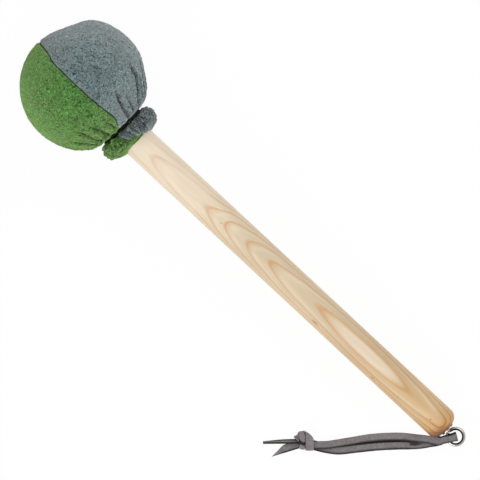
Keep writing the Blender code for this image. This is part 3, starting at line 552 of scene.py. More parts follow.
def plain_wood_material():
    """Turned basswood of the hidden core: soft pale brown, with rings and no finish."""
    return patterned("turned basswood", {"Roughness": 0.7, "Specular IOR Level": 0.25}, "TexWave",
                     {"Scale": 90.0, "Distortion": 3.0, "Detail": 2.0, "Detail Scale": 1.5},
                     ((0.0, "#d3b48a"), (1.0, "#c19f72")), 0.00005, output="Fac", along=True,
                     wave_type="RINGS", rings_direction="X")


def zinc_material():
    """Zinc-plated steel: dull bluish grey plate with a fine crystal mottle."""
    return patterned("zinc-plated steel", {"Metallic": 1.0}, "TexNoise",
                     {"Scale": 1500.0, "Detail": 3.0}, ((0.3, "#b4b7b9"), (0.7, "#c9cbcb")),
                     0.00001, rough=((0.3, 0.3), (0.7, 0.46)))


def felt_material():
    """Pressed wool felt: matt off-white with tangled fibres, drawn 1 mm coarse."""
    return patterned("pressed wool felt", {"Roughness": 0.95, "Sheen Weight": 0.3}, "TexNoise",
                     {"Scale": 900.0, "Detail": 4.0, "Distortion": 1.5},
                     ((0.3, "#d9d3c2"), (0.7, "#efebde")), 0.0003)


def foam_material():
    """Open-cell polyurethane foam: pale cream, pitted with cells of about half a millimetre."""
    return patterned("open-cell foam", {"Roughness": 0.9, "Sheen Weight": 0.15}, "TexVoronoi",
                     {"Scale": 1800.0}, ((0.0, "#c9c1a6"), (0.5, "#ece6d2")), 0.0003,
                     output="Distance")


def nickel_material():
    """Bright nickel plate on drawn steel wire: warm silver, nearly mirror smooth, with painted shade
    and dark reflection where the eye meets its washer and on the ring's inner wall."""
    made, add = new_material("bright nickel plate", {"Metallic": 1.0})
    place = add("TexCoord").outputs["Object"]
    marks = add("TexNoise", {"Vector": place, "Scale": 1200.0, "Detail": 2.0})
    tone = add("ValToRGB", {"Fac": marks}, stops=((0.3, settings().eye.nickel), (0.75, "#8f8a82")))
    # Painted shade and dark reflection: a band beside the washer, and the ring's inner wall
    station = add("SeparateXYZ", {"Vector": mallet_place(add)}).outputs[0]
    reach = add("Math", {0: station, 1: WASHER_STATION}, operation="SUBTRACT")
    reach = add("Math", {0: reach, 1: 200.0}, operation="MULTIPLY", use_clamp=True)
    painted_shade_and_reflection = add("ValToRGB", {"Fac": reach}, stops=(
        (0.21, 0.0), (0.24, 0.8), (0.36, 0.5), (0.55, 0.0)))
    inner = add("Attribute", attribute_name="cut_edge_and_shade").outputs["Fac"]
    painted_shade_and_reflection = add("Math", {0: painted_shade_and_reflection, 1: inner}, operation="MAXIMUM")
    tone = add("Mix", {0: painted_shade_and_reflection, 6: tone, 7: "#1f1c1a"}, data_type="RGBA")
    rough = add("ValToRGB", {"Fac": marks}, stops=((0.3, 0.14), (0.7, 0.28)))
    return finished(made, tone, marks, 0.00001, rough)


def suede_material():
    """Split-leather suede lace: matt short nap in grey-mauve with lighter fibres, drawn 0.7 mm
    coarse, and dark cut edges, with shade painted on the lace in the same dark colour."""
    made, add = new_material("grey suede", {
        "Roughness": 0.92, "Specular IOR Level": 0.15, "Sheen Weight": 0.3, "Sheen Roughness": 0.4})
    lace = settings().lace
    place = add("TexCoord").outputs["Object"]
    nap = add("TexNoise", {"Vector": place, "Scale": 1400.0, "Detail": 3.0, "Distortion": 0.6})
    broad = add("TexNoise", {"Vector": place, "Scale": 160.0, "Detail": 2.0})
    tone = add("ValToRGB", {"Fac": nap}, stops=(
        (0.28, shade(lace.suede, 0.62)), (0.5, lace.suede), (0.78, shade(lace.suede, 1.4))))
    tone = mottled(add, tone, broad, ((0.35, 0.86), (0.65, 1.1)))
    # The cut-edge attribute darkens the real cut edges and, in the same colour, the painted shade on the
    # lace
    cut = add("Attribute", attribute_name="cut_edge_and_shade").outputs["Fac"]
    tone = add("Mix", {0: cut, 6: tone, 7: tuple(lace.cut)}, data_type="RGBA")
    return finished(made, tone, nap, 0.00018)


def head_radius(angle, turn):
    """Distance from the head's middle to the cover; the angle is in degrees, the turn in radians."""
    grey = curve_value(GREY_OUTLINE, angle)
    green = curve_value(GREEN_OUTLINE, angle)
    return settings().head.radius * (grey + green + (grey - green) * math.sin(turn)) / 2.0


def beside_seam(angle, turn):
    """The angle in degrees and turn in radians of a direction, once moved as the seam wanders."""
    around = math.sin(math.radians(angle))
    unit = Vector((-math.cos(math.radians(angle)), around * math.sin(turn), around * math.cos(turn)))
    away = unit.dot(SEAM_SIDE)
    shift = curve_value(SEAM_SHIFT, angle) * MM / settings().head.radius
    unit = (unit + SEAM_SIDE * shift * (1.0 - away * away)).normalized()
    return math.degrees(math.acos(max(-1.0, min(1.0, -unit.x)))), math.atan2(unit.y, unit.z)


def at(station, radius, turn):
    """World place on the mallet; the neck leans a little towards the butt on the grey side."""
    side = radius * math.sin(turn)
    lean = NECK_SLANT * side * eased(*SLANT_STATIONS, station)
    return HEAD_MIDDLE + ALONG * (station + lean) + ACROSS * side + UPWARD * (radius * math.cos(turn))


def on_ball(angle, radius, turn):
    """World place at an angle in degrees from the end of the ball."""
    return at(-radius * math.cos(math.radians(angle)), radius * math.sin(math.radians(angle)), turn)


def fold_at(angle, turn):
    """Depth in millimetres of the gathered folds, less the puffs beside them, and the shade painted in
    them.
    The angle and the turn are in degrees."""
    if angle < FOLDS_BEGIN:
        return 0.0, 0.0
    total = dark = 0.0
    for index, (depth, width, *route) in enumerate(FOLDS):
        start = route[0][0]
        if angle < start - 6.0:
            continue
        wobble = 1.3 * noise.noise(Vector((angle / 4.0, 7.0 * index, 0.5)))
        gap = (turn - curve_value(route, angle) - wobble + 180.0) % 360.0 - 180.0
        away = abs(gap) * DEGREE_MM * math.sin(math.radians(angle))
        away /= width * (1.0 + 0.25 * eased(125.0, 145.0, angle))
        if away > 4.0:
            continue
        grown = eased(start - 5.0, start + 9.0, angle)
        total += depth * grown * (math.exp(-away * away) - 0.35 * math.exp(-(away - 2.0) ** 2))
        # The fold's painted shade, patchy along it
        spotty = 1.0 + 0.5 * noise.noise(Vector((angle / 2.0, 5.0 * index, turn / 3.0)))
        strength = min(0.5 + 0.3 * depth, 1.3)
        dark = max(dark, grown * strength * math.exp(-(1.35 * away) ** 2) * spotty)
    return total, min(dark, 1.0)


def grid_of(bm, rows, columns, place):
    """A grid of rows by columns whose vertices, given by row and column, move to their places."""
    found = {}
    for vert in bmesh.ops.create_grid(bm, x_segments=rows, y_segments=columns, size=0.5)["verts"]:
        row = round((vert.co.x + 0.5) * rows)
        column = round((vert.co.y + 0.5) * columns)
        vert.co = place(row, column)
        found[row, column] = vert
    return found


def add_object(name, data):
    """A new object in the scene with this mesh, lamp or camera."""
    made = bpy.data.objects.new(name, data)
    bpy.context.scene.collection.objects.link(made)
    return made


def mesh_from(name, builder):
    """A mesh that the builder fills."""
    bm = bmesh.new()
    builder(bm)
    data = bpy.data.meshes.new(name)
    bm.to_mesh(data)
    bm.free()
    return data


def new_piece(name, builder, material, replaced, body="mallet", sharp=None):
    """A smooth mesh piece that the builder fills, riding on a body in place of a CAD node. Its
    edges over the sharp angle, in degrees, stay sharp."""
    data = mesh_from(name, builder)
    data.shade_smooth()
    data.materials.append(material)
    made = add_object(name, data)
    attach(made, body)
    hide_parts(replaced)
    if sharp:
        data.set_sharp_from_angle(angle=math.radians(sharp))
    return made


def clean(bm, distance=0.000004, closed=True):
    """Merges doubles, fills open ends where it is to be closed, and turns the faces outwards."""
    bmesh.ops.remove_doubles(bm, verts=bm.verts, dist=distance)
    rims = [edge for edge in bm.edges if edge.is_boundary]
    if rims and closed:
        bmesh.ops.holes_fill(bm, edges=rims, sides=0)
    bmesh.ops.recalc_face_normals(bm, faces=bm.faces)


def swept(bm, points, sides, normals, section, marks=None):
    """A closed skin along points. section(i) gives (across, up) offsets round the run at point i,
    and marks(i) how far each of those is darkened as a cut edge or as painted shade."""
    sections = [section(i) for i in range(len(points))]
    columns = len(sections[0])
    layer = bm.verts.layers.float.new("cut_edge_and_shade") if marks else None

    def place(row, column):
        across, up = sections[row][column % columns]
        return points[row] + sides[row] * across + normals[row] * up

    found = grid_of(bm, len(points) - 1, columns, place)
    if marks:
        for (row, column), vert in found.items():
            vert[layer] = marks(row)[column % columns]
    clean(bm)


def run_past(points, i):
    """From the point before point i to the one after it."""
    return points[min(i + 1, len(points) - 1)] - points[max(i - 1, 0)]


def frames_along(points, sides):
    """Sides squared to the run, and normals, at each point."""
    squared, normals = [], []
    for i, side in enumerate(sides):
        run = run_past(points, i).normalized()
        across = (side - run * side.dot(run)).normalized()
        squared.append(across)
        normals.append(run.cross(across))
    return squared, normals


def circle_section(radius, count):
    return [(radius * math.cos(2.0 * math.pi * j / count), radius * math.sin(2.0 * math.pi * j / count))
            for j in range(count)]


def spin_outline(bm, outline, steps, closed=False):
    """Turns (radius, station) points once round the mallet's axis."""
    verts = [bm.verts.new(TO_WORLD @ Vector((station, 0.0, radius))) for radius, station in outline]
    edges = [bm.edges.new(pair) for pair in zip(verts, verts[1:])]
    if closed:
        edges.append(bm.edges.new((verts[-1], verts[0])))
    bmesh.ops.spin(bm, geom=verts + edges, cent=HEAD_MIDDLE, axis=ALONG, dvec=(0.0, 0.0, 0.0),
                   angle=2.0 * math.pi, steps=steps, use_merge=True, use_duplicate=False)
    clean(bm, 0.00001, closed=False)


def settle(point):
    """Presses a point softly flat where it meets the table."""
    point.z = 0.5 * (point.z + math.sqrt(point.z ** 2 + 0.0006 ** 2))
    return point


def spread(share):
    """Share of the way across a panel, whose columns are closer together at its edges."""
    return share - 0.45 * math.sin(2.0 * math.pi * share) / (2.0 * math.pi)


def bell(distance, reach):
    """1 at no distance, and down to 0 a few reaches away."""
    return math.exp(-(distance / reach) ** 2)


def ball_vertex(side, share, angle):
    """Place of the cover on the ball and the shade painted there; side is 1 for the grey half."""
    head = settings().head
    seam = math.radians(SEAM_TURN)
    turn = seam + side * math.pi * share
    plane = head_radius(angle, turn) * math.sin(math.radians(angle)) / MM
    plane = abs(plane * math.sin(turn - seam))
    angle, turn = beside_seam(angle, turn)
    radius = head_radius(angle, turn)
    depth, dark = fold_at(angle, math.degrees(turn))
    spot = on_ball(angle, radius, turn)
    # The seam is pulled in by its thread between two soft puffs
    depth += 1.1 * bell(plane, 0.6) + 0.5 * bell(plane, 2.8) - 0.35 * bell(plane - 2.2, 1.2)
    # The nap's curls, and swells of 5 mm
    depth += 0.4 * min(abs(noise.noise(spot / head.nap)) / 0.3, 1.0) - 0.2
    depth -= 0.18 * noise.noise(spot / 0.005)
    # The seam's groove is painted dark as shade
    dark = max(dark, 0.75 * bell(plane, 0.45))
    # The halves part a little for the thread
    opening = 0.1 * bell(plane, 2.0) * side
    across = ACROSS * SEAM_SIDE.y + UPWARD * SEAM_SIDE.z
    return settle(on_ball(angle, radius - depth * MM, turn) + across * opening * MM), dark


def neck_vertex(side, share, knot):
    """Place of the cover in the tie's groove and on the hem, and the shade painted there."""
    station = knot_value([point[0] for point in NECK_PROFILE], knot)
    radius = knot_value([point[1] for point in NECK_PROFILE], knot)
    start = knot_value(GREY_EDGE if side > 0 else GREEN_EDGE, knot)
    degrees = start + (SEAM_TURN + 180.0 * side - start) * share
    groove = NECK_PROFILE[GROOVE_KNOT + 1][0]
    full, last = NECK_PROFILE[-1]
    crest = NECK_PROFILE[CREST_KNOT][1]
    if knot > GROOVE_KNOT:
        reach = curve_value(GREY_MOUTH if side > 0 else GREEN_MOUTH, degrees)
        station = groove + (station - groove) * (reach - groove) / (full - groove)
    if side > 0 and knot > GROOVE_KNOT + 1:
        # The grey flap lies over the green half's edge and is tucked in at its own
        covered = 1.0 - eased(25.0, 55.0, degrees)
        floor = last + (FLAP_UNDER - last) * covered
        if knot > CREST_KNOT:
            radius = crest - (crest - radius) * (crest - floor) / (crest - last)
        tuck = bell((degrees - start) * radius * math.pi / 180.0, FLAP_TUCK)
        radius -= tuck * max(radius - FLAP_UNDER, 0.0) * 0.9
    if side < 0 and knot > GROOVE_KNOT + 1:
        covered = eased(-24.0, -15.0, degrees)
        radius = max(radius - FLAP_ROOM * covered, min(radius, HEM_INNER))

    # Over the tie the lips bulge unevenly, and past it the fleece is scrunched into billows
    arc = math.radians(degrees) * HEM_RADIUS
    uneven = 0.5 + noise.noise(Vector((arc / 3.5, 4.0 * side, 0.3)))
    station -= (2.6 * uneven - 1.0) * eased(6.2, 7.3, knot) * (1.0 - eased(8.8, 11.0, knot))
    station += (1.0 * uneven - 0.3) * eased(1.0, 2.2, knot) * (1.0 - eased(3.0, 4.0, knot))
    lift = eased(GROOVE_KNOT + 2, GROOVE_KNOT + 4, knot) * (1.0 - eased(13.5, 15.0, knot))
    straight = 1.0 - eased(5.0, 30.0, degrees) if side > 0 else 0.0
    spot = Vector((station / (3.4 + 5.0 * straight), arc / (1.5 - 0.2 * straight), 9.0 * side))
    curl = abs(noise.noise(spot + Vector((0.0, 0.6 * noise.noise(spot * 0.5), 0.0))))
    radius += lift * (4.2 * curl - 1.0)
    # The valleys between the billows and the tie's groove are painted dark as shade
    dark = lift * max(0.0, 1.0 - curl / 0.3) * (1.3 if side > 0 else 0.6)
    dark = max(dark, eased(2.8, 4.0, knot) * (1.0 - eased(6.2, 7.4, knot)))
    fading = 1.0 - eased(1.5, 3.5, knot)
    # The folds' painted shade fades out towards the tie
    depth, fold_painted_shade = fold_at(NECK_ANGLE, degrees)
    place = settle(at(station * MM, (radius - depth * fading) * MM, math.radians(degrees)))
    return place, max(dark, fold_painted_shade * fading)


def panel_piece(name, side, material, node):
    """One half of the cover as a sheet of fleece."""
    head = settings().head
    steps = 4
    rows = head.rows + steps * (len(NECK_PROFILE) - 1)
    painted_shade = {}

    def place(row, column):
        share = spread(column / head.columns)
        if row <= head.rows:
            point, painted_shade[row, column] = ball_vertex(side, share, NECK_ANGLE * row / head.rows)
        else:
            point, painted_shade[row, column] = neck_vertex(side, share, (row - head.rows) / steps)
        return point

    def build(bm):
        # Each vertex keeps the shade painted on it as the fleece's fold attribute
        layer = bm.verts.layers.float.new("fold")
        for key, vert in grid_of(bm, rows, head.columns, place).items():
            vert[layer] = painted_shade[key]
        clean(bm, closed=False)
        outermost = max(bm.faces, key=lambda face: face.calc_center_median().y * side)
        if outermost.normal.dot(ACROSS * side) < 0.0:
            bmesh.ops.reverse_faces(bm, faces=bm.faces)

    made = new_piece(name, build, material, node)
    wall = made.modifiers.new("fleece", "SOLIDIFY")
    wall.thickness = head.fleece
    wall.offset = -1.0
    return made


class GONG_OT_cover(bpy.types.Operator):
    """Makes both fleece halves of the cover with their folds and gathered hem"""
    bl_idname = "gong_mallet.cover"
    bl_label = "Fleece cover"

    def execute(self, context):
        head = settings().head
        for side, tint, colour, tip in ((1, "grey", head.grey, (0.94, 1.0, 0.98)),
                                        (-1, "green", head.green, (0.68, 1.0, 0.38))):
            fleece = fleece_material("pilled %s fleece" % tint, colour, tip)
            made = panel_piece("%s_fleece_half" % tint, side, fleece,
                               "cover_%s" % tint)
        return {"FINISHED"}


class GONG_OT_padding(bpy.types.Operator):
    """Makes the foam and felt inside the head"""
    bl_idname = "gong_mallet.padding"
    bl_label = "Foam and felt"

    def execute(self, context):
        hollow, under_fleece, foam_end, foam_bottom = 0.0331, 0.003, 0.0346, 0.0022
        core, felt = 0.0273, 0.005
        bore = settings().handle.radius + 0.0006
        rows, inner_rows, columns, last_angle = 48, 24, 96, 135.5

        def foam_place(row, column):
            turn = 2.0 * math.pi * column / columns
            if row <= rows:
                angle = last_angle * row / rows
                # The foam gives way under the gathers and their folds
                outer = head_radius(angle, turn) - under_fleece - 0.0012 * eased(98.0, 130.0, angle)
                outer -= max(fold_at(angle, math.degrees(turn))[0], 0.0) * MM
                radius = outer * math.sin(math.radians(angle))
                station = min(-outer * math.cos(math.radians(angle)), foam_end)
            elif row == rows + 1:
                radius, station = bore, foam_end
            else:
                angle = math.pi - math.asin(bore / hollow)
                angle *= 1.0 - (row - rows - 2) / inner_rows
                radius = hollow * math.sin(angle)
                station = CORE_STATION - hollow * math.cos(angle)
            point = TO_WORLD @ Vector((station, radius * math.sin(turn), radius * math.cos(turn)))
            if row <= rows:
                point.z = max(point.z, foam_bottom)
            return point

        def foam_build(bm):
            grid_of(bm, rows + 2 + inner_rows, columns, foam_place)
            clean(bm, 0.00001)

        foam = new_piece("foam_ball", foam_build, foam_material(), "foam_padding")

        neck = math.acos(bore / core)
        outline = []
        for radius, first, last in ((core + felt, -math.pi / 2.0, neck), (core, neck, -math.pi / 2.0)):
            for i in range(33):
                angle = first + (last - first) * i / 32
                outline.append((radius * math.cos(angle), CORE_STATION + radius * math.sin(angle)))
        wrap = new_piece("felt_ball", lambda bm: spin_outline(bm, outline, 96), felt_material(),
                         "felt_wrap")
        return {"FINISHED"}


class GONG_OT_tie(bpy.types.Operator):
    """Makes the cord tied round the neck, its knot and the seam's thread"""
    bl_idname = "gong_mallet.tie"
    bl_label = "Neck tie and seam thread"

    def execute(self, context):
        cord = cord_material()
        tie = settings().tie
        neck, loops, pitch, count = 0.0178, 2, 0.00157, 240
        # Both ends rise into the knot, and stop 2.5 mm from its middle
        knot_rise = 0.00235
        end_turn = 0.0025 / (neck + knot_rise)
        whole = loops * 2.0 * math.pi - 2.0 * end_turn
        points = []
        for i in range(count + 1):
            share = i / count
            rise = knot_rise * (1.0 - eased(0.02, 0.10, min(share, 1.0 - share)))
            points.append(at(TIE_STATION + pitch * loops * (share - 0.5), neck + rise,
                             math.pi + end_turn + whole * share))
        squared, normals = frames_along(points, [ALONG] * len(points))

        def plies(i):
            """Three twisted plies."""
            section = []
            for j in range(12):
                angle = 2.0 * math.pi * j / 12
                reach = tie.radius * (1.0 + 0.10 * math.cos(3.0 * angle + 0.42 * i))
                section.append((reach * math.cos(angle), reach * math.sin(angle)))
            return section

        new_piece("neck_cord", lambda bm: swept(bm, points, squared, normals, plies), cord,
                  "neck_tie")

        def knot_build(bm):
            low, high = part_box("neck_tie_knot")
            half = (high - low) / 2.0
            bmesh.ops.create_uvsphere(bm, u_segments=32, v_segments=20, radius=1.0)
            for vert in bm.verts:
                x, y, z = vert.co
                x, z = (x * (1.0 + 0.12 * math.cos(6.0 * y)),
                        z * (1.0 + 0.10 * math.cos(5.0 * x + 3.0 * y)))
                vert.co = (low + high) / 2.0 + Vector((x * half.x * 0.86, y * half.y * 0.98,
                                                       z * half.z * 0.86))
            bmesh.ops.recalc_face_normals(bm, faces=bm.faces)

        new_piece("neck_cord_knot", knot_build, cord, "neck_tie_knot")

        limit, steps = 139.0, 260
        thread = []
        for i in range(steps + 1):
            angle = limit * (2.0 * i / steps - 1.0)
            turn = math.radians(SEAM_TURN) + (math.pi if angle > 0.0 else 0.0)
            angle, turn = beside_seam(abs(angle), turn)
            # The lockstitch dips a little every three millimetres
            dip = 0.00115 + 0.00012 * math.cos(2.0 * math.pi * i / 3.2)
            thread.append(on_ball(angle, head_radius(angle, turn) - dip, turn))
        thread_frames = frames_along(thread, [ACROSS] * len(thread))
        strand = circle_section(tie.thread, 8)
        new_piece("seam_stitching", lambda bm: swept(bm, thread, *thread_frames, lambda i: strand),
                  cord, "seam_thread")
        return {"FINISHED"}


class GONG_OT_handle(bpy.types.Operator):
    """Makes the turned maple handle with its tenon and rounded butt"""
    bl_idname = "gong_mallet.handle"
    bl_label = "Maple handle"

    def execute(self, context):
        wood = settings().handle
        tenon, tenon_end, shoulder, chamfer = 0.008, -0.02, 0.0203, 0.001
        screw_bore, screw_depth, eye_depth = 0.0027, 0.006, 0.3628
        curve = wood.rounding
        outline = [(0.0, screw_depth), (screw_bore, screw_depth), (screw_bore, tenon_end),
                   (tenon - chamfer, tenon_end), (tenon, tenon_end + chamfer), (tenon, shoulder),
                   (wood.radius - chamfer, shoulder)]
        first, last = shoulder + chamfer, BUTT_STATION - curve
        outline += [(wood.radius, first + (last - first) * i / 24) for i in range(24)]
        for i in range(17):
            angle = math.radians(90.0 * i / 16)
            outline.append((wood.radius - curve * (1.0 - math.cos(angle)),
                            last + curve * math.sin(angle)))
        outline += [(EYE_BORE, BUTT_STATION), (EYE_BORE, eye_depth), (0.0, eye_depth)]
        new_piece("maple_handle", lambda bm: spin_outline(bm, outline, 128), maple_material(),
                  "handle", sharp=40)
        return {"FINISHED"}


class GONG_OT_core(bpy.types.Operator):
    """Gives the hidden core, its screw and its washer their wood and steel"""
    bl_idname = "gong_mallet.core"
    bl_label = "Core, screw and washer"

    def execute(self, context):
        wood, zinc = plain_wood_material(), zinc_material()
        for node, material in (("head_core", wood), ("core_screw", zinc), ("core_washer", zinc)):
            data = frame["nodes"][node].data
            data.materials.clear()
            data.materials.append(material)
        return {"FINISHED"}


class GONG_OT_eye(bpy.types.Operator):
    """Makes the screw eye from one bent wire, and its washer"""
    bl_idname = "gong_mallet.eye"
    bl_label = "Screw eye and washer"

    def execute(self, context):
        eye = settings().eye
        nickel = nickel_material()
        shank_steps, ring_steps = 12, 72
        top = EYE_MIDDLE - ALONG * eye.radius
        tip = HEAD_MIDDLE + ALONG * EYE_TIP_STATION
        points = [tip + (top - tip) * i / shank_steps for i in range(shank_steps)]
        for i in range(ring_steps + 1):
            angle = math.radians(180.0 - 345.0 * i / ring_steps)
            points.append(EYE_MIDDLE + ALONG * eye.radius * math.cos(angle)
                          + ACROSS * eye.radius * math.sin(angle))
        squared, normals = frames_along(points, [UPWARD] * len(points))

        def section(i):
            size = EYE_SHANK if i < shank_steps else eye.wire
            return circle_section(size * (0.25 + 0.75 * min(i / 3.0, 1.0)), 24)

        def painted_inner_shade(i):
            """The wire's inner wall is painted nearly black as shade and dark reflection, most of all
            beside the washer.
            """
            inwards = (EYE_MIDDLE - points[i]).normalized()
            low = -0.05 - 0.35 * max(inwards.dot(ALONG), 0.0)
            outwards = [squared[i] * across + normals[i] * up for across, up in section(i)]
            return [eased(low, low + 0.3, outward.normalized().dot(inwards)) if i > shank_steps else 0.0
                    for outward in outwards]

        new_piece("nickel_eye", lambda bm: swept(bm, points, squared, normals, section, painted_inner_shade),
                  nickel, "screw_eye")

        outer, thick, edge = 0.0055, 0.0011, 0.00022
        near, far = WASHER_STATION, WASHER_STATION + thick
        outline = [(EYE_BORE, near + edge), (EYE_BORE + edge, near), (outer - edge, near),
                   (outer, near + edge), (outer, far - edge), (outer - edge, far),
                   (EYE_BORE + edge, far), (EYE_BORE, far - edge)]
        new_piece("nickel_washer", lambda bm: spin_outline(bm, outline, 64, closed=True), nickel,
                  "eye_washer", sharp=35)
        return {"FINISHED"}


def through(places, steps):
    """Points on one smooth curve through the places."""
    last = len(places) - 1
    points = []
    for i in range(last):
        for step in range(steps):
            points.append(smooth_between(places[max(i - 1, 0)], places[i], places[i + 1],
                                         places[min(i + 2, last)], step / steps))
    points.append(places[last])
    return points


def strip_section(left, right, thickness, crown=0.12):
    """Rounded flat section of the lace, as (across, up): its face from left to right, the right
    cut edge, its back and the left cut edge."""
    half = thickness / 2.0
    middle, reach = (right - left) / 2.0, (right + left) / 2.0
    face = [(middle + reach * share, half * (1.0 - crown * share * share)) for share in SECTION_SHARES]
    lip = half * 0.62 * (1.0 - 0.6 * crown)
    back = [(across, -up) for across, up in reversed(face)]
    return face + [(right, lip), (right, -lip)] + back + [(-left, -lip), (-left, lip)]


def strip_marks(shadow=0.0, reach=0, edge=0.0):
    """Cut-edge and painted-shade marks of that section: the first columns on the left painted as dark
    as the shadow, and on the right the face darkened towards its dark cut edge, partly as painted shade."""
    face = [shadow if i < reach else 0.0 for i in range(len(SECTION_SHARES))]
    face[-3:] = 0.5 * edge, edge, max(edge, 0.9)
    return face + [1.0, 1.0] + face[::-1] + [1.0, 1.0]


def strand_places(route):
    """Places of one strand of the lace, from the eye into the knot."""
    eye_height = CROSSING.z - LACE_LIE
    places = [Vector((CROSSING.x + x * MM, CROSSING.y + y * MM, LACE_LIE + eye_height * left + lift * MM))
              for x, y, left, lift in route]
    return places + [places[-1] + (places[-1] - places[-2]).normalized() * 0.003]


def level_sides(points):
    """Level directions across the run at each point."""
    runs = [run_past(points, i) for i in range(len(points))]
    return [Vector((-run.y, run.x, 0.0)).normalized() for run in runs]


def level(bearing):
    """The direction in the table's plane at a bearing from +X."""
    return Vector((math.cos(bearing), math.sin(bearing), 0.0))


class GONG_OT_lace(bpy.types.Operator):
    """Makes the suede lace: its loop through the eye, its knot and its cut tails"""
    bl_idname = "gong_mallet.lace"
    bl_label = "Suede lace"

    def execute(self, context):
        lace = settings().lace
        suede = suede_material()
        outward = (ALONG * LACE_BEARING.x + ACROSS * LACE_BEARING.y).normalized()
        axis = UPWARD.cross(outward).normalized()
        steps, turn_steps = 6, 24
        fold = []
        for i in range(turn_steps + 1):
            angle = math.pi * (0.5 - i / turn_steps)
            inwards = TURN_SLACK + TURN_REACH * math.cos(angle)
            fold.append(CROSSING - outward * inwards + UPWARD * TURN_RADIUS * math.sin(angle))
        upper = through([fold[0]] + strand_places(UPPER_STRAND), steps)
        lower = through([fold[-1]] + strand_places(LOWER_STRAND), steps)
        points = upper[:0:-1] + fold + lower[1:]
        sides = level_sides(upper)[:0:-1] + [axis] * len(fold) + level_sides(lower)[1:]
        squared, normals = frames_along(points, sides)
        half = lace.width / 2.0
        # Millimetres from the eye's wire, for both strands and for the lower one only
        reaches = [(point - CROSSING).length / MM for point in points]
        first_lower = len(upper) - 1 + len(fold)
        away = [reach if i >= first_lower else 0.0 for i, reach in enumerate(reaches)]

        def section(i):
            rough = 0.00008 * noise.noise(points[i] / 0.004)
            # The lace bulges a little beside the butt. Next to the upper strand the lower one is
            # wider, and lies in its shadow
            fan = 0.0006 * eased(5.0, 7.0, reaches[i]) * (1.0 - eased(10.0, 15.0, reaches[i]))
            wider = fan + 0.0015 * eased(26.0, 34.0, away[i])
            return strip_section(half + rough + wider, half - rough + fan, lace.thickness)

        # Painted shade: the left columns darken beside the eye and where the lower strand lies in the
        # upper one's shadow, and the right edge darkens towards the cut edge, partly as painted shade
        def marks(i):
            if reaches[i] < 7.5:
                return strip_marks(1.0, 2, 0.6)
            if away[i] > 30.0:
                return strip_marks(1.0, 3, 0.9)
            return strip_marks(0.8 * eased(18.0, 25.0, away[i]), 6, 0.8)

        loop = new_piece("suede_loop", lambda bm: swept(bm, points, squared, normals, section, marks),
                         suede, "lace_loop", "lace", sharp=50)
        knot = new_piece("suede_knot", self.knot_build, suede, "lace_knot", "lace")
        tails = self.make_tails(suede)
        return {"FINISHED"}

    def knot_build(self, bm):
        """The knot's wraps, each a crowned band of the lace round the strands."""
        run, beside = level(KNOT_BEARING), level(KNOT_BEARING + math.pi / 2.0)
        start = Vector((CROSSING.x, CROSSING.y, 0.0)) + run * KNOT_START + beside * KNOT_OFFSET
        layer = bm.verts.layers.float.new("cut_edge_and_shade")
        count = 64
        for wrap in KNOT_WRAPS:
            along, down, width, half_across, high, thick, pinch = (size * MM for size in wrap[:7])
            turned, shadow, dark = wrap[7:]
            turning = Matrix.Rotation(math.radians(turned), 3, "Z")
            direction, sideways = turning @ run, turning @ beside
            middle = start + run * along + beside * down + LIFT * (TABLE_CLEARANCE + high / 2.0)
            section = strip_section(width / 2.0, width / 2.0, thick, 0.55)
            marks = strip_marks(shadow, 2)

            def place(row, column):
                angle = 2.0 * math.pi * (row % count) / count
                across, up = section[column % len(section)]
                reach, rise = math.cos(angle), math.sin(angle)
                if pinch * reach < 0.0:
                    across += pinch * reach * reach * (0.5 - math.copysign(1.0, pinch) * across / width)
                normal = (sideways * reach * high + LIFT * rise * 2.0 * half_across).normalized()
                point = (middle + sideways * reach * (half_across - thick / 2.0)
                         + LIFT * rise * (high - thick) / 2.0 + direction * across + normal * up)
                crease = noise.noise(Vector((point.x / 0.0022, point.y / 0.0022, 3.0 * turned)))
                point += normal * (0.00035 * crease if up > 0.0 else 0.0)
                point.z = max(point.z, 0.0001)
                return point

            for (_, column), vert in grid_of(bm, count, len(section), place).items():
                # The band's left edge and the knot's inside are painted dark as shade
                vert[layer] = max(dark, 0.85 * marks[column % len(section)])
        clean(bm, closed=False)

    def make_tails(self, suede):
        """The two cut tails, the upper one on its edge and the lower one flat."""
        lace = settings().lace
        half = lace.width / 2.0
        band_middle, band_half = KNOT_BAND
        far_face = (CROSSING + level(KNOT_BEARING) * (KNOT_START + band_middle)
                    + level(KNOT_BEARING + math.pi / 2.0) * KNOT_OFFSET
                    + level(KNOT_BEARING + KNOT_BAND_TURN) * band_half)
        made = []
        lean = math.sin(UPPER_TAIL_TILT)
        for name, node, route, on_edge in (("suede_tail_upper", "lace_tail_upper", UPPER_TAIL, True),
                                           ("suede_tail_lower", "lace_tail_lower", LOWER_TAIL, False)):
            places, widths = [], []
            for i, (x, y, left, right) in enumerate(route):
                if on_edge:
                    height = TABLE_CLEARANCE + left * half * lean + lace.thickness / 2.0
                else:
                    height = LACE_LIE + 0.0007 * (1.0 - i / (len(route) - 1)) ** 2
                places.append(Vector((far_face.x + x * MM, far_face.y + y * MM, height)))
                widths.append(Vector((left, right)) * half)
            points, reach = through(places, 6), through(widths, 6)
            sides = level_sides(points)
            if on_edge:
                sides = [side * math.cos(UPPER_TAIL_TILT) + LIFT * lean for side in sides]
            frames = frames_along(points, sides)
            # The upper tail's left columns are painted dark as shade
            marks = strip_marks(0.95, 5, 0.3) if on_edge else strip_marks(edge=1.0)

            def build(bm):
                swept(bm, points, *frames, lambda i: strip_section(*reach[i], lace.thickness),
                      lambda i: marks)

            made.append(new_piece(name, build, suede, node, "lace", sharp=50))
        return made


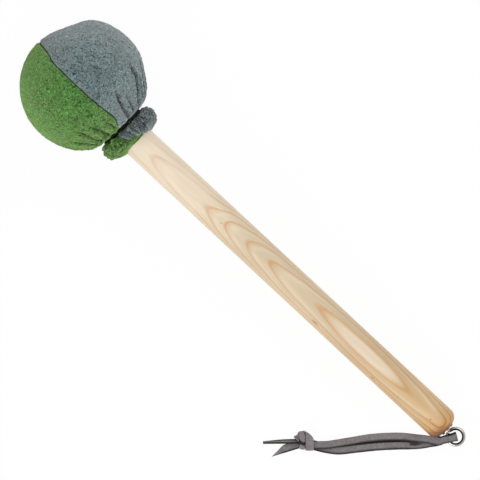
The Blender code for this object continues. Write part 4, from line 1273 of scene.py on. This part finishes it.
class GONG_OT_stage(bpy.types.Operator):
    """Makes the floor, the lights, the world and the camera"""
    bl_idname = "gong_mallet.stage"
    bl_label = "Stage"

    def bare(self, owner):
        """Empties a material's or world's nodes, and gives what adds nodes to it."""
        owner.use_nodes = True
        owner.node_tree.nodes.clear()
        return partial(add_node, owner.node_tree)

    def seen(self, add):
        """1 for what the camera sees, directly or in metal or through glass."""
        path = add("LightPath").outputs
        bright = add("Math", {0: path["Is Camera Ray"], 1: path["Is Glossy Ray"]}, operation="MAXIMUM")
        return add("Math", {0: bright, 1: path["Is Transmission Ray"]}, operation="MAXIMUM")

    def execute(self, context):
        scene = context.scene
        stage = settings().stage
        white = tuple(stage.white)
        floor = add_object("floor", mesh_from("floor", lambda bm: bmesh.ops.create_grid(
            bm, x_segments=1, y_segments=1, size=12.0, matrix=Matrix.Translation((0.0, 0.0, -0.0001)))))
        paper = bpy.data.materials.new("white paper sweep")
        floor.data.materials.append(paper)
        add = self.bare(paper)
        # The camera sees mostly the paper's own white, and a little of its shade
        glowing = add("Math", {0: self.seen(add), 1: 0.96}, operation="MULTIPLY")
        add("OutputMaterial", {"Surface": add("MixShader", {
            0: glowing, 1: add("BsdfDiffuse", {"Color": shade(white, 0.97)}),
            2: add("Emission", {"Color": white})})})

        scene.world = bpy.data.worlds.new("studio")
        add = self.bare(scene.world)
        strength = add("Math", {0: self.seen(add), 1: 0.5, 2: 0.5}, operation="MULTIPLY_ADD")
        add("OutputWorld", {"Surface": add("Background", {"Color": white, "Strength": strength})})

        for name, place, power in LAMPS:
            lamp = bpy.data.lights.new(name, "AREA")
            lamp.shape = "DISK"
            lamp.size = LAMP_WIDTH
            lamp.energy = power
            holder = add_object(name, lamp)
            holder.location = place
            holder.rotation_euler = (Vector(place) - LAMP_AIM).to_track_quat("Z", "Y").to_euler()

        camera = bpy.data.cameras.new("camera")
        camera.sensor_width = 36.0
        camera.lens = camera.sensor_width * stage.height / stage.frame_width
        camera.clip_end = 50.0
        holder = add_object("camera", camera)
        holder.location = (*VIEW_MIDDLE[:2], VIEW_MIDDLE[2] + stage.height)
        holder.rotation_euler = (0.0, 0.0, math.radians(VIEW_TURN))
        scene.camera = holder
        scene.view_settings.view_transform = "Standard"
        return {"FINISHED"}


class GONG_PT_panel(bpy.types.Panel):
    """Lists the mallet's sizes, colours and pieces"""
    bl_idname = "GONG_PT_panel"
    bl_label = "Gong Mallet"
    bl_space_type = "VIEW_3D"
    bl_region_type = "UI"
    bl_category = "Gong Mallet"

    def draw(self, context):
        layout = self.layout
        for group in ("head", "tie", "handle", "eye", "lace", "stage"):
            values = getattr(settings(), group)
            column = layout.box().column()
            for name in values.__annotations__:
                column.prop(values, name)
        for operator in OPERATORS:
            layout.operator(operator.bl_idname)


OPERATORS = (GONG_OT_stage, GONG_OT_lace, GONG_OT_eye, GONG_OT_handle, GONG_OT_core,
             GONG_OT_padding, GONG_OT_tie, GONG_OT_cover)
CLASSES = (HeadSettings, TieSettings, HandleSettings, EyeSettings, LaceSettings, StageSettings,
           MalletSettings, *OPERATORS, GONG_PT_panel)


def register():
    for entry in CLASSES:
        bpy.utils.register_class(entry)
    bpy.types.Scene.gong_mallet = PointerProperty(type=MalletSettings)


def unregister():
    del bpy.types.Scene.gong_mallet
    for entry in reversed(CLASSES):
        bpy.utils.unregister_class(entry)


def main():
    register()
    bpy.ops.gong_mallet.stage()
    bpy.ops.gong_mallet.lace()
    bpy.ops.gong_mallet.eye()
    bpy.ops.gong_mallet.handle()
    bpy.ops.gong_mallet.core()
    bpy.ops.gong_mallet.padding()
    bpy.ops.gong_mallet.tie()
    bpy.ops.gong_mallet.cover()


if __name__ == "__main__":
    main()
